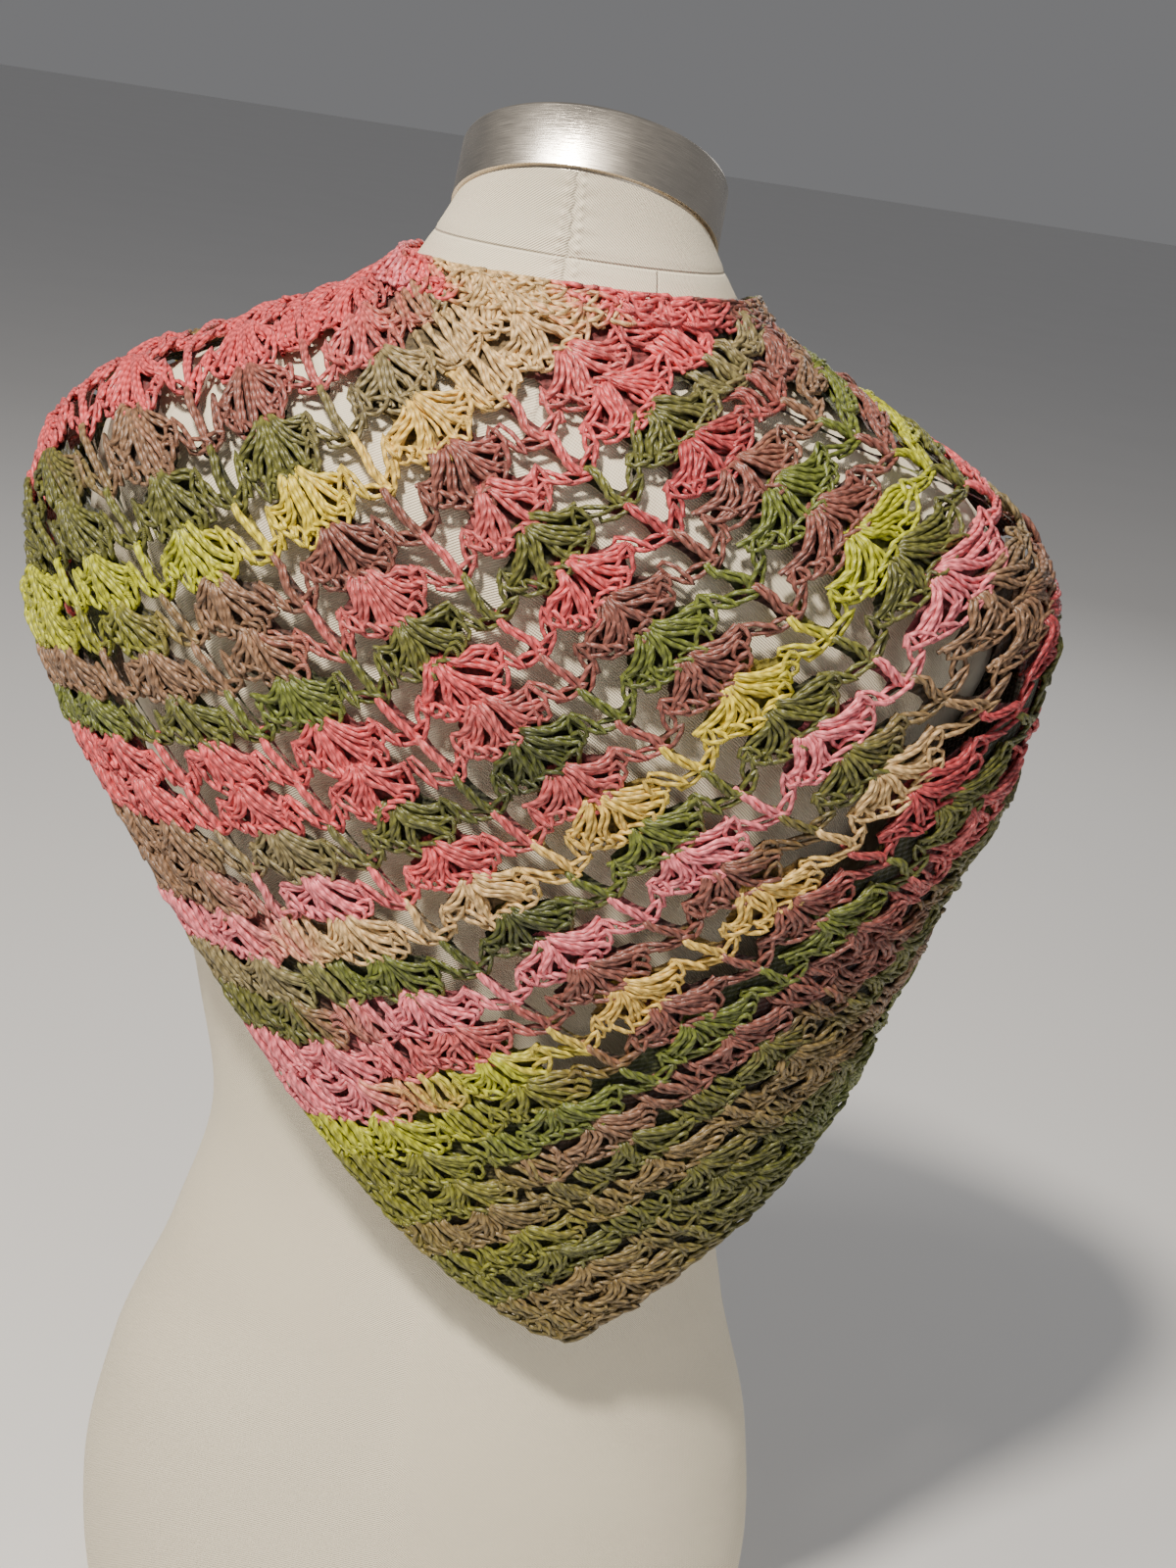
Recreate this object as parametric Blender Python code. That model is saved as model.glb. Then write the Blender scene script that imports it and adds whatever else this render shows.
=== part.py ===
"""A hand-crocheted triangle shawl of openwork lace, worn on a limbless dress form.

Blender 4.5, metres, +Z up. The form stands on its flat underside with its middle over the
origin. Its front faces -Y, and the point of the shawl hangs down its back, towards +Y.

The shawl is drawn flat, in the rows in which it was worked, and then laid on the form by
one rule: how far round and how far down the body each point of the flat lace comes.
"""

import math

import bmesh
import bpy
import numpy as np

# The form, from its underside to the cap on its neck
CAP_RADIUS = 0.0555
CAP_HEIGHT = 0.027
CAP_SLANT = math.radians(28)
CAP_TOP_CENTRE = (0.0, -0.004, 0.747)
CAP_EDGE_ROUND = 0.0016
TOUCH_GAP = 0.0003
SEAM_GAP = 0.0009
NECK_INSET = 0.0012
NECK_JOIN_HEIGHT = 0.694

# The form from hip to neck: height, half width, depth behind and depth in front
FORM_SECTIONS = (
    (0.000, 0.160, 0.104, 0.102),
    (0.012, 0.168, 0.110, 0.107),
    (0.080, 0.174, 0.114, 0.110),
    (0.150, 0.164, 0.109, 0.106),
    (0.225, 0.139, 0.097, 0.098),
    (0.300, 0.123, 0.086, 0.092),
    (0.365, 0.135, 0.092, 0.106),
    (0.450, 0.158, 0.107, 0.132),
    (0.530, 0.184, 0.113, 0.119),
    (0.580, 0.199, 0.110, 0.107),
    (0.612, 0.196, 0.1050, 0.1010),
    (0.636, 0.179, 0.0975, 0.0940),
    (0.656, 0.143, 0.0870, 0.0845),
    (0.676, 0.1020, 0.0755, 0.0735),
    (0.694, 0.0745, 0.0652, 0.0630),
)

# The surface that the lace follows: it rests on neck and shoulders and hangs free below
DRAPE_SECTIONS = (
    (0.080, 0.160, 0.118, 0.120),
    (0.180, 0.160, 0.118, 0.120),
    (0.275, 0.165, 0.117, 0.125),
    (0.360, 0.176, 0.118, 0.138),
    (0.450, 0.196, 0.120, 0.142),
    (0.530, 0.218, 0.121, 0.130),
    (0.580, 0.222, 0.117, 0.118),
    (0.615, 0.214, 0.110, 0.108),
    (0.640, 0.188, 0.101, 0.098),
    (0.660, 0.148, 0.090, 0.088),
    (0.680, 0.106, 0.078, 0.076),
    (0.698, 0.077, 0.068, 0.066),
    (0.715, 0.066, 0.060, 0.058),
    (0.740, 0.063, 0.058, 0.056),
)
SECTION_ROUNDNESS = 2.2
DRAPE_TOP = 0.735
DRAPE_FOOT = 0.090

# The flat shawl: a right-angled triangle whose long edge lies round the neck
SHAWL_DEPTH = 0.527
LEG = SHAWL_DEPTH * math.sqrt(2)
WALL = 0.003
ROW_PITCH = 0.0177
ROW_BAR = 0.0062
REPEAT = 0.062
FIRST_SHELL = 0.040
SHELL_HALF = 0.0175
GAP_WIDTH = 0.011
BORDER = 0.0225
NECK_BAND = 0.024
HEM_SOLID = 0.020

# Where the lace is open enough for its gaps to be cut through
OPEN_COLUMNS_FROM = 1
OPEN_FRONT_LIMIT = 0.290

# The stretches of the shawl are parted along two rows and two columns
LEFT_WING_ROW = 26
MIDDLE_ROW = 13
RIGHT_WING_COLUMN = 7
MIDDLE_COLUMN = 3

# How the lace lies, in metres round and down the body
ROUND_START = 0.0045
ROUND_BY_DEPTH = 0.328
ROUND_BY_DEPTH_SQUARED = -0.39
ROUND_BY_WIDTH = 1.116
ROUND_BY_BOTH = 0.29
ROUND_BY_WIDTH_SQUARED = -0.11
DOWN_START = 0.023
DOWN_AT_NECK = 0.006
NECK_FADE = 0.040
DOWN_BY_DEPTH = 1.117
DOWN_BY_DEPTH_SQUARED = -0.40
DOWN_BY_WIDTH = -0.152
DOWN_BY_BOTH = 1.0
DOWN_BY_WIDTH_SQUARED = 0.26

# The wings leave the neck and hang down the front in soft upright folds
WING_TURN = (0.080, 0.250)
LEFT_TURN_BY_DEPTH = 0.60
RIGHT_TURN_BY_DEPTH = 0.10
WING_EDGE_AZIMUTH = math.radians(155)
LEFT_AZIMUTH_BY_DEPTH = math.radians(300)
RIGHT_AZIMUTH_BY_DEPTH = math.radians(150)
LEFT_WING_DOWN = -0.090
RIGHT_WING_DOWN = -0.060
WING_DOWN_BY_DEPTH = 0.60
WING_FOLDS = 3.5
WING_FOLD_DEPTH = 0.012
FOLD_START = (0.200, 0.340)

# The chain edging along the right leg and round the point
EDGING_RADIUS = 0.0021
EDGING_SIDES = 6
EDGING_GAP = 0.0007
STEP_IN = 0.004

FORM_STEPS = 40
TABLE_STEPS = 240


def clear_scene() -> None:
    """Remove every object that the file holds."""
    for obj in list(bpy.data.objects):
        bpy.data.objects.remove(obj, do_unlink=True)


def make_material(name: str, colour: tuple, roughness: float, metallic: float = 0.0):
    """Return a plain Principled material."""
    material = bpy.data.materials.new(name)
    material.use_nodes = True
    shader = material.node_tree.nodes["Principled BSDF"]
    shader.inputs["Base Color"].default_value = (*colour, 1.0)
    shader.inputs["Roughness"].default_value = roughness
    shader.inputs["Metallic"].default_value = metallic
    return material


def smooth_step(low: float, high: float, value):
    """Rise smoothly from 0 at low to 1 at high."""
    part = np.clip((value - low) / (high - low), 0.0, 1.0)
    return part * part * (3.0 - 2.0 * part)


def column_curve(heights: np.ndarray, values: np.ndarray, at) -> np.ndarray:
    """Read one column of a section table on a smooth curve that never overshoots."""
    steps = np.diff(heights)
    slopes = np.diff(values) / steps
    tangents = np.zeros(len(heights))
    same_way = slopes[:-1] * slopes[1:] > 0
    before = 2 * steps[1:] + steps[:-1]
    after = steps[1:] + 2 * steps[:-1]
    safe = np.where(same_way, slopes[:-1], 1.0), np.where(same_way, slopes[1:], 1.0)
    mean = (before + after) / (before / safe[0] + after / safe[1])
    tangents[1:-1] = np.where(same_way, mean, 0.0)
    tangents[0] = slopes[0]
    tangents[-1] = slopes[-1]
    index = np.clip(np.searchsorted(heights, at) - 1, 0, len(steps) - 1)
    width = steps[index]
    u = np.clip((at - heights[index]) / width, 0.0, 1.0)
    rise = (3 - 2 * u) * u * u
    lead_in = u * (1 - u) ** 2 * width * tangents[index]
    lead_out = u * u * (u - 1) * width * tangents[index + 1]
    return values[index] * (1 - rise) + values[index + 1] * rise + lead_in + lead_out


class Body:
    """A body of rounded level sections, read from a table."""

    def __init__(self, sections: tuple) -> None:
        table = np.array(sections)
        self.heights = table[:, 0]
        self.columns = table[:, 1:]

    def point(self, azimuth, height) -> np.ndarray:
        """Return the place at an azimuth from the middle of the back, towards -X."""
        half_width, back, front = (
            column_curve(self.heights, self.columns[:, i], height) for i in range(3)
        )
        sine, cosine = np.sin(azimuth), np.cos(azimuth)
        depth = np.where(cosine > 0, back, front)
        power = 2.0 / SECTION_ROUNDNESS
        x = -half_width * np.sign(sine) * np.abs(sine) ** power
        y = depth * np.sign(cosine) * np.abs(cosine) ** power
        return np.stack([x, y, height + 0 * x], axis=-1)


class Drape:
    """Lays points of the flat shawl on the surface that the worn lace follows."""

    def __init__(self) -> None:
        self.body = Body(DRAPE_SECTIONS)
        self.azimuths = np.linspace(-math.pi, math.pi, TABLE_STEPS + 1)
        self.levels = np.linspace(DRAPE_TOP, DRAPE_FOOT, TABLE_STEPS)
        azimuth, level = np.meshgrid(self.azimuths, self.levels)
        places = self.body.point(azimuth, level)
        down = np.linalg.norm(np.diff(places, axis=0), axis=2).cumsum(axis=0)
        self.down = np.vstack([np.zeros((1, len(self.azimuths))), down])
        around = np.linalg.norm(np.diff(places, axis=1), axis=2).cumsum(axis=1)
        around = np.hstack([np.zeros((len(self.levels), 1)), around])
        self.around = around - around[:, [TABLE_STEPS // 2]]

    def level_at(self, azimuth: np.ndarray, down: np.ndarray) -> np.ndarray:
        """Return the height that lies so far down the meridian of each azimuth."""
        place = (azimuth + math.pi) / (2 * math.pi) * TABLE_STEPS
        index = np.clip(place.astype(int), 0, TABLE_STEPS - 1)
        part = place - index
        found = np.empty(len(azimuth))
        for i, (k, u, length) in enumerate(zip(index, part, down)):
            meridian = self.down[:, k] * (1 - u) + self.down[:, k + 1] * u
            found[i] = np.interp(length, meridian, self.levels)
        return found

    def azimuth_at(self, around: np.ndarray, level: np.ndarray) -> np.ndarray:
        """Return the azimuth that lies so far round the section at each height."""
        place = (DRAPE_TOP - level) / (DRAPE_TOP - DRAPE_FOOT) * (TABLE_STEPS - 1)
        index = np.clip(place.astype(int), 0, TABLE_STEPS - 2)
        part = place - index
        found = np.empty(len(around))
        for i, (k, u, length) in enumerate(zip(index, part, around)):
            section = self.around[k] * (1 - u) + self.around[k + 1] * u
            found[i] = np.interp(length, section, self.azimuths)
        return found

    def back_lie(self, across: np.ndarray, depth: np.ndarray) -> tuple:
        """Return the azimuth and the way down of lace on the back and shoulders."""
        around = (
            ROUND_START
            + ROUND_BY_DEPTH * depth
            + ROUND_BY_DEPTH_SQUARED * depth**2
            + (ROUND_BY_WIDTH + ROUND_BY_BOTH * depth) * across
            + ROUND_BY_WIDTH_SQUARED * across**2
        )
        at_neck = np.exp(-np.maximum(depth, 0.0) / NECK_FADE)
        slope = DOWN_BY_WIDTH * (1 - at_neck) + DOWN_BY_BOTH * depth
        down = (
            DOWN_START
            + DOWN_AT_NECK * at_neck
            + DOWN_BY_DEPTH * depth
            + DOWN_BY_DEPTH_SQUARED * depth**2
            + slope * across
            + DOWN_BY_WIDTH_SQUARED * across**2
        )
        azimuth = around / np.max(self.body.columns)
        for _ in range(12):
            level = self.level_at(azimuth, down)
            azimuth = 0.4 * azimuth + 0.6 * self.azimuth_at(around, level)
        return azimuth, down

    def surface(self, across: np.ndarray, depth: np.ndarray) -> np.ndarray:
        """Lay flat points on the body: metres across from the nape, and below the neck edge."""
        later = np.where(across < 0, LEFT_TURN_BY_DEPTH, RIGHT_TURN_BY_DEPTH) * depth
        turn = smooth_step(*WING_TURN, np.abs(across) - later)
        near = np.clip(across, -WING_TURN[1] - later, WING_TURN[1] + later)
        azimuth, down = self.back_lie(near, depth)
        side = np.where(across < 0, -1.0, 1.0)
        narrowing = np.where(across < 0, LEFT_AZIMUTH_BY_DEPTH, RIGHT_AZIMUTH_BY_DEPTH)
        wing_azimuth = side * (WING_EDGE_AZIMUTH - narrowing * depth)
        start = np.where(across < 0, LEFT_WING_DOWN, RIGHT_WING_DOWN)
        wing_down = start + np.abs(across) + WING_DOWN_BY_DEPTH * depth
        azimuth = azimuth * (1 - turn) + wing_azimuth * turn
        down = down * (1 - turn) + wing_down * turn
        places = self.body.point(azimuth, self.level_at(azimuth, down))
        wave = 0.5 - 0.5 * np.cos(WING_FOLDS * 2 * math.pi * depth / (SHAWL_DEPTH / 2))
        fold = WING_FOLD_DEPTH * wave * smooth_step(*FOLD_START, np.abs(across))
        outward = places * (1.0, 1.0, 0.0)
        outward /= np.linalg.norm(outward, axis=1, keepdims=True)
        return places + outward * fold[:, None]

    def lay(self, across, depth, lift) -> np.ndarray:
        """Lay flat points on the body and raise them by lift along the surface's normal."""
        across, depth = np.asarray(across, float), np.asarray(depth, float)
        step = 0.002
        here = self.surface(across, depth)
        by_width = self.surface(across + step, depth) - here
        by_depth = self.surface(across, depth + step) - here
        normal = np.cross(by_width, by_depth)
        normal /= np.linalg.norm(normal, axis=1, keepdims=True)
        outward = np.sign((normal * here * (1.0, 1.0, 0.0)).sum(axis=1, keepdims=True))
        return here + normal * outward * lift


def to_flat(from_left_leg: float, from_right_leg: float) -> tuple:
    """Turn distances from the two legs into metres across and below the neck edge."""
    across = (from_left_leg - from_right_leg) / math.sqrt(2)
    return across, SHAWL_DEPTH - (from_left_leg + from_right_leg) / math.sqrt(2)


def column_lines() -> list:
    """Return the lines between shells, gaps and posts, as distances from the left leg."""
    lines = [0.0, BORDER]
    shell = FIRST_SHELL
    while shell - SHELL_HALF < LEG:
        start = shell - SHELL_HALF
        post = start + 2 * SHELL_HALF + GAP_WIDTH
        next_start = start + REPEAT
        lines += [shell, shell + SHELL_HALF, post, next_start - GAP_WIDTH, next_start]
        shell += REPEAT
    return sorted(x for x in lines if x < LEG)


def row_lines() -> list:
    """Return two lines a row, below and above its solid bar, from the right leg."""
    rows = int(LEG / ROW_PITCH) + 1
    lines = [row * ROW_PITCH + up for row in range(rows) for up in (0.0, ROW_BAR)]
    return [x for x in lines if x < LEG]


def is_gap(column: float, row: float) -> bool:
    """Say whether the cell with this middle is an open gap of the lace."""
    across, depth = to_flat(column, row)
    repeat = int((column - FIRST_SHELL + SHELL_HALF) // REPEAT)
    place = (column - FIRST_SHELL + SHELL_HALF) % REPEAT
    beside_post = place > 2 * SHELL_HALF
    on_post = abs(place - 2 * SHELL_HALF - (REPEAT - 2 * SHELL_HALF) / 2) < 0.003
    between_bars = row % ROW_PITCH > ROW_BAR
    inside = depth > NECK_BAND and row > HEM_SOLID and column > BORDER
    open_part = repeat >= OPEN_COLUMNS_FROM and abs(across) < OPEN_FRONT_LIMIT
    return beside_post and not on_post and between_bars and inside and open_part


def flat_lace(columns: list, rows: list):
    """Return a flat bmesh of one stretch of lace, clipped at the neck edge.

    Args:
        columns: The column lines that this stretch spans.
        rows: The row lines that it spans.
    """
    mesh = bmesh.new()
    cells = {}
    for i, column in enumerate(columns):
        for j, row in enumerate(rows):
            cells[i, j] = mesh.verts.new((column, row, 0.0))
    for i in range(len(columns) - 1):
        for j in range(len(rows) - 1):
            if columns[i] + rows[j] < LEG:
                corners = [cells[i, j], cells[i + 1, j], cells[i + 1, j + 1], cells[i, j + 1]]
                mesh.faces.new(corners)
    loose = [v for v in mesh.verts if not v.link_faces]
    bmesh.ops.delete(mesh, geom=loose, context="VERTS")
    everything = mesh.verts[:] + mesh.edges[:] + mesh.faces[:]
    half = LEG / 2
    bmesh.ops.bisect_plane(
        mesh,
        geom=everything,
        dist=0.00002,
        plane_co=(half, half, 0.0),
        plane_no=(1.0, 1.0, 0.0),
        clear_outer=True,
    )
    bmesh.ops.remove_doubles(mesh, verts=mesh.verts[:], dist=0.0004)
    middles = ((face, face.calc_center_median()) for face in mesh.faces)
    gaps = [face for face, at in middles if len(face.verts) == 4 and is_gap(at.x, at.y)]
    bmesh.ops.delete(mesh, geom=gaps, context="FACES")
    return mesh


def add_object(name: str, mesh, material, smooth: bool = True):
    """Turn a bmesh into a named object with one material."""
    data = bpy.data.meshes.new(name)
    mesh.to_mesh(data)
    mesh.free()
    if smooth:
        data.shade_smooth()
        data.set_sharp_from_angle(angle=math.radians(40))
    data.materials.append(material)
    obj = bpy.data.objects.new(name, data)
    bpy.context.scene.collection.objects.link(obj)
    return obj


def build_lace(name: str, drape: Drape, columns: list, rows: list, material) -> None:
    """Build one stretch of the shawl as a closed wall with its gaps cut through."""
    mesh = flat_lace(columns, rows)
    across, depth = zip(*(to_flat(v.co.x, v.co.y) for v in mesh.verts))
    outer = drape.lay(across, depth, WALL / 2)
    inner = drape.lay(across, depth, -WALL / 2)
    mesh.verts.ensure_lookup_table()
    faces = [[v.index for v in face.verts] for face in mesh.faces]
    rims = []
    for edge in mesh.edges:
        if len(edge.link_faces) == 1:
            loop = edge.link_loops[0]
            rims.append((loop.vert.index, loop.link_loop_next.vert.index))
    mesh.free()
    wall = bmesh.new()
    top = [wall.verts.new(place) for place in outer]
    under = [wall.verts.new(place) for place in inner]
    for face in faces:
        wall.faces.new([top[i] for i in face])
        wall.faces.new([under[i] for i in reversed(face)])
    for start, end in rims:
        wall.faces.new([top[end], top[start], under[start], under[end]])
    bmesh.ops.triangulate(wall, faces=wall.faces[:])
    bmesh.ops.recalc_face_normals(wall, faces=wall.faces[:])
    add_object(name, wall, material)


def stretch(lines: list, start: float, end: float) -> list:
    """Return the lines from just past one seam to the next one."""
    low = start + SEAM_GAP if start > 0 else start
    return [low] + [x for x in lines if start + 0.001 < x < end - 0.001] + [end]


def build_shawl(drape: Drape, material) -> None:
    """Build the back in four stretches and the two wings, 0.3 mm apart at the seams."""
    columns, rows = column_lines(), row_lines()
    middle_row = MIDDLE_ROW * ROW_PITCH
    wing_row = LEFT_WING_ROW * ROW_PITCH
    middle_column = FIRST_SHELL - SHELL_HALF + MIDDLE_COLUMN * REPEAT
    wing_column = FIRST_SHELL - SHELL_HALF + RIGHT_WING_COLUMN * REPEAT
    low_rows = stretch(rows, 0.0, middle_row)
    high_rows = stretch(rows, middle_row, wing_row)
    low_columns = stretch(columns, 0.0, middle_column)
    high_columns = stretch(columns, middle_column, wing_column)
    build_lace("shawl_point", drape, low_columns, low_rows, material)
    build_lace("shawl_left_shoulder", drape, low_columns, high_rows, material)
    build_lace("shawl_right_shoulder", drape, high_columns, low_rows, material)
    build_lace("shawl_nape", drape, high_columns, high_rows, material)
    build_lace("shawl_left_wing", drape, columns, stretch(rows, wing_row, LEG), material)
    build_lace("shawl_right_wing", drape, stretch(columns, wing_column, LEG), rows, material)


def ring_faces(mesh, rings: list) -> None:
    """Join rings of the same number of points by quads and close both ends."""
    count = len(rings[0])
    for low, high in zip(rings, rings[1:]):
        for i in range(count):
            k = (i + 1) % count
            mesh.faces.new([low[i], low[k], high[k], high[i]])
    mesh.faces.new(list(reversed(rings[0])))
    mesh.faces.new(rings[-1])


def build_edging(drape: Drape, material) -> None:
    """Build the chain edging, a cord just outside the right leg of the shawl."""
    mesh = bmesh.new()
    stations = np.array(column_lines())
    stations = stations[stations < LEG - 0.012]
    hem = drape.lay(*to_flat(stations, 0.0), 0.0)
    above = drape.lay(*to_flat(stations, STEP_IN), 0.0)
    raised = drape.lay(*to_flat(stations, 0.0), STEP_IN) - hem
    normal = raised / np.linalg.norm(raised, axis=1, keepdims=True)
    out = hem - above
    out -= normal * (out * normal).sum(axis=1, keepdims=True)
    out /= np.linalg.norm(out, axis=1, keepdims=True)
    middle = hem + out * (EDGING_RADIUS + EDGING_GAP)
    rings = []
    for place, outward, upward in zip(middle, out, normal):
        ring = []
        for side in range(EDGING_SIDES):
            angle = 2 * math.pi * side / EDGING_SIDES
            around = outward * math.cos(angle) + upward * math.sin(angle)
            ring.append(mesh.verts.new(place + around * EDGING_RADIUS))
        rings.append(ring)
    ring_faces(mesh, rings)
    bmesh.ops.recalc_face_normals(mesh, faces=mesh.faces[:])
    add_object("shawl_edging", mesh, material)


def cap_frame() -> tuple:
    """Return the cap's top centre, its normal and its two level directions."""
    normal = np.array([0.0, -math.sin(CAP_SLANT), math.cos(CAP_SLANT)])
    sideways = np.array([-1.0, 0.0, 0.0])
    backwards = np.array([0.0, math.cos(CAP_SLANT), math.sin(CAP_SLANT)])
    return np.array(CAP_TOP_CENTRE), normal, sideways, backwards


def cap_ring(radius: float, below: float) -> np.ndarray:
    """Return a ring round the cap's slanted axis, so far below its top."""
    centre, normal, sideways, backwards = cap_frame()
    angles = np.linspace(0, 2 * math.pi, FORM_STEPS, endpoint=False)[:, None]
    around = np.sin(angles) * sideways + np.cos(angles) * backwards
    return centre - normal * below + radius * around


def build_form(material) -> None:
    """Build the torso from its sections, with the neck running up to the slanted cap."""
    body = Body(FORM_SECTIONS)
    mesh = bmesh.new()
    azimuths = np.linspace(0, 2 * math.pi, FORM_STEPS, endpoint=False)
    heights = []
    for low, high in zip(body.heights, body.heights[1:]):
        steps = max(1, math.ceil((high - low) / 0.032))
        heights += list(np.linspace(low, high, steps, endpoint=False))
    heights.append(NECK_JOIN_HEIGHT)
    rings = [body.point(azimuths, np.full(FORM_STEPS, z)) for z in heights]
    base = rings[-1]
    top = cap_ring(CAP_RADIUS - NECK_INSET, CAP_HEIGHT + TOUCH_GAP)
    for part in (0.25, 0.5, 0.75, 1.0):
        hollow = 1.0 - 0.10 * math.sin(math.pi * part)
        middle = base.mean(axis=0) * (1 - part) + top.mean(axis=0) * part
        ring = base * (1 - part) + top * part
        rings.append(middle + (ring - middle) * (1.0, hollow, 1.0))
    ring_faces(mesh, [[mesh.verts.new(p) for p in ring] for ring in rings])
    bmesh.ops.recalc_face_normals(mesh, faces=mesh.faces[:])
    add_object("form_torso", mesh, material)


def build_cap(material) -> None:
    """Build the slanted metal cap with rounded edges."""
    mesh = bmesh.new()
    rings = (
        (CAP_RADIUS - CAP_EDGE_ROUND, CAP_HEIGHT),
        (CAP_RADIUS, CAP_HEIGHT - CAP_EDGE_ROUND),
        (CAP_RADIUS, CAP_EDGE_ROUND),
        (CAP_RADIUS - CAP_EDGE_ROUND, 0.0),
    )
    ring_faces(mesh, [[mesh.verts.new(p) for p in cap_ring(*ring)] for ring in rings])
    bmesh.ops.recalc_face_normals(mesh, faces=mesh.faces[:])
    add_object("neck_cap", mesh, material)


def main() -> None:
    """Build the dress form and the shawl on it."""
    clear_scene()
    yarn = make_material("variegated_yarn", (0.60, 0.24, 0.20), 0.62)
    edging = make_material("edging_yarn", (0.22, 0.21, 0.05), 0.62)
    cover = make_material("jersey_cover", (0.70, 0.65, 0.52), 0.85)
    steel = make_material("brushed_steel", (0.55, 0.52, 0.48), 0.32, 1.0)
    build_form(cover)
    build_cap(steel)
    drape = Drape()
    build_shawl(drape, yarn)
    build_edging(drape, edging)


main()
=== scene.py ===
"""The looks of a hand-crocheted lace shawl on a limbless dress form, seen from behind.

Metres, +Z up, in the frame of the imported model: the front faces -Y and the point of the shawl
hangs down the back, towards +Y. The lace is worked out flat, stitch by stitch, and each yarn
is then laid on the form by the same rule that lays the shawl's solid.
"""

import logging
import math
from dataclasses import dataclass, field
from enum import Enum

import bmesh
import bpy
import numpy as np
from mathutils import Matrix, Vector

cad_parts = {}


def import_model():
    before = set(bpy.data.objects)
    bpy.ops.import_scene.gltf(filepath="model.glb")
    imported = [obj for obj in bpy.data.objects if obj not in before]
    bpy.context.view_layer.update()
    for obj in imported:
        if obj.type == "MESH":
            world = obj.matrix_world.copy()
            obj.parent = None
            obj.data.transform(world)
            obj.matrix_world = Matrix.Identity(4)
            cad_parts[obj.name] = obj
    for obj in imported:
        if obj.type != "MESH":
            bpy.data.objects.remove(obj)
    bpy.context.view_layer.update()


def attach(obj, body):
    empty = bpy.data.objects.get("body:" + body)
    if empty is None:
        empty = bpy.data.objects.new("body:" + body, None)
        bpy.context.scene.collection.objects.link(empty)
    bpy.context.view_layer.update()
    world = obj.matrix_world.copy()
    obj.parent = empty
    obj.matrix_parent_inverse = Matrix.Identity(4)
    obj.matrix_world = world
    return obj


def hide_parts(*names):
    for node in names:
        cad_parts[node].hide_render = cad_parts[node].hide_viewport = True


LOG = logging.getLogger("lace_shawl")

SHAWL_DEPTH = 0.527
LEG = SHAWL_DEPTH * math.sqrt(2)
ROW_PITCH = 0.0177
REPEAT = 0.062
FIRST_SHELL = 0.040
NAPE_ROW = 0.376
POST_PLACE = 0.031
SHAWL_NODES = (
    "shawl_nape",
    "shawl_left_shoulder",
    "shawl_right_shoulder",
    "shawl_point",
    "shawl_left_wing",
    "shawl_right_wing",
)
FIRST_ROW = -21
LAST_ROW = 20
SECTION_ROUNDNESS = 2.2

# The form from hip to neck: height, half width, depth behind and depth in front
FORM_SECTIONS = (
    (0.000, 0.160, 0.104, 0.102),
    (0.012, 0.168, 0.110, 0.107),
    (0.080, 0.174, 0.114, 0.110),
    (0.150, 0.164, 0.109, 0.106),
    (0.225, 0.139, 0.097, 0.098),
    (0.300, 0.123, 0.086, 0.092),
    (0.365, 0.135, 0.092, 0.106),
    (0.450, 0.158, 0.107, 0.132),
    (0.530, 0.184, 0.113, 0.119),
    (0.580, 0.199, 0.110, 0.107),
    (0.612, 0.196, 0.1050, 0.1010),
    (0.636, 0.179, 0.0975, 0.0940),
    (0.656, 0.143, 0.0870, 0.0845),
    (0.676, 0.1020, 0.0755, 0.0735),
    (0.694, 0.0745, 0.0652, 0.0630),
)

# The surface that the lace follows: it rests on neck and shoulders and hangs free below
DRAPE_SECTIONS = (
    (0.080, 0.160, 0.118, 0.120),
    (0.180, 0.160, 0.118, 0.120),
    (0.275, 0.165, 0.117, 0.125),
    (0.360, 0.176, 0.118, 0.138),
    (0.450, 0.196, 0.120, 0.142),
    (0.530, 0.218, 0.121, 0.130),
    (0.580, 0.222, 0.117, 0.118),
    (0.615, 0.214, 0.110, 0.108),
    (0.640, 0.188, 0.101, 0.098),
    (0.660, 0.148, 0.090, 0.088),
    (0.680, 0.106, 0.078, 0.076),
    (0.698, 0.077, 0.068, 0.066),
    (0.715, 0.066, 0.060, 0.058),
    (0.740, 0.063, 0.058, 0.056),
)


class Dye(Enum):
    """The shades that the variegated yarn runs through, as the worn yarn shows them."""

    CORAL = "DF5B5E"
    PINK = "EE7D86"
    ROSE = "CF6160"
    RED = "B84448"
    BROWN = "8A5246"
    TAUPE = "8C6A4E"
    TAN = "877044"
    OLIVE = "66662A"
    MOSS = "484D1B"
    GREEN = "697228"
    LIME = "B6B824"
    LEAF = "7E7E26"
    YELLOW = "E4CC3C"
    GOLD = "E6BE5C"
    SAND = "DCB67C"
    STONE = "8A7B52"

    @property
    def linear(self) -> np.ndarray:
        """The shade as linear red, green and blue."""
        return linear_colour(self.value)


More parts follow.
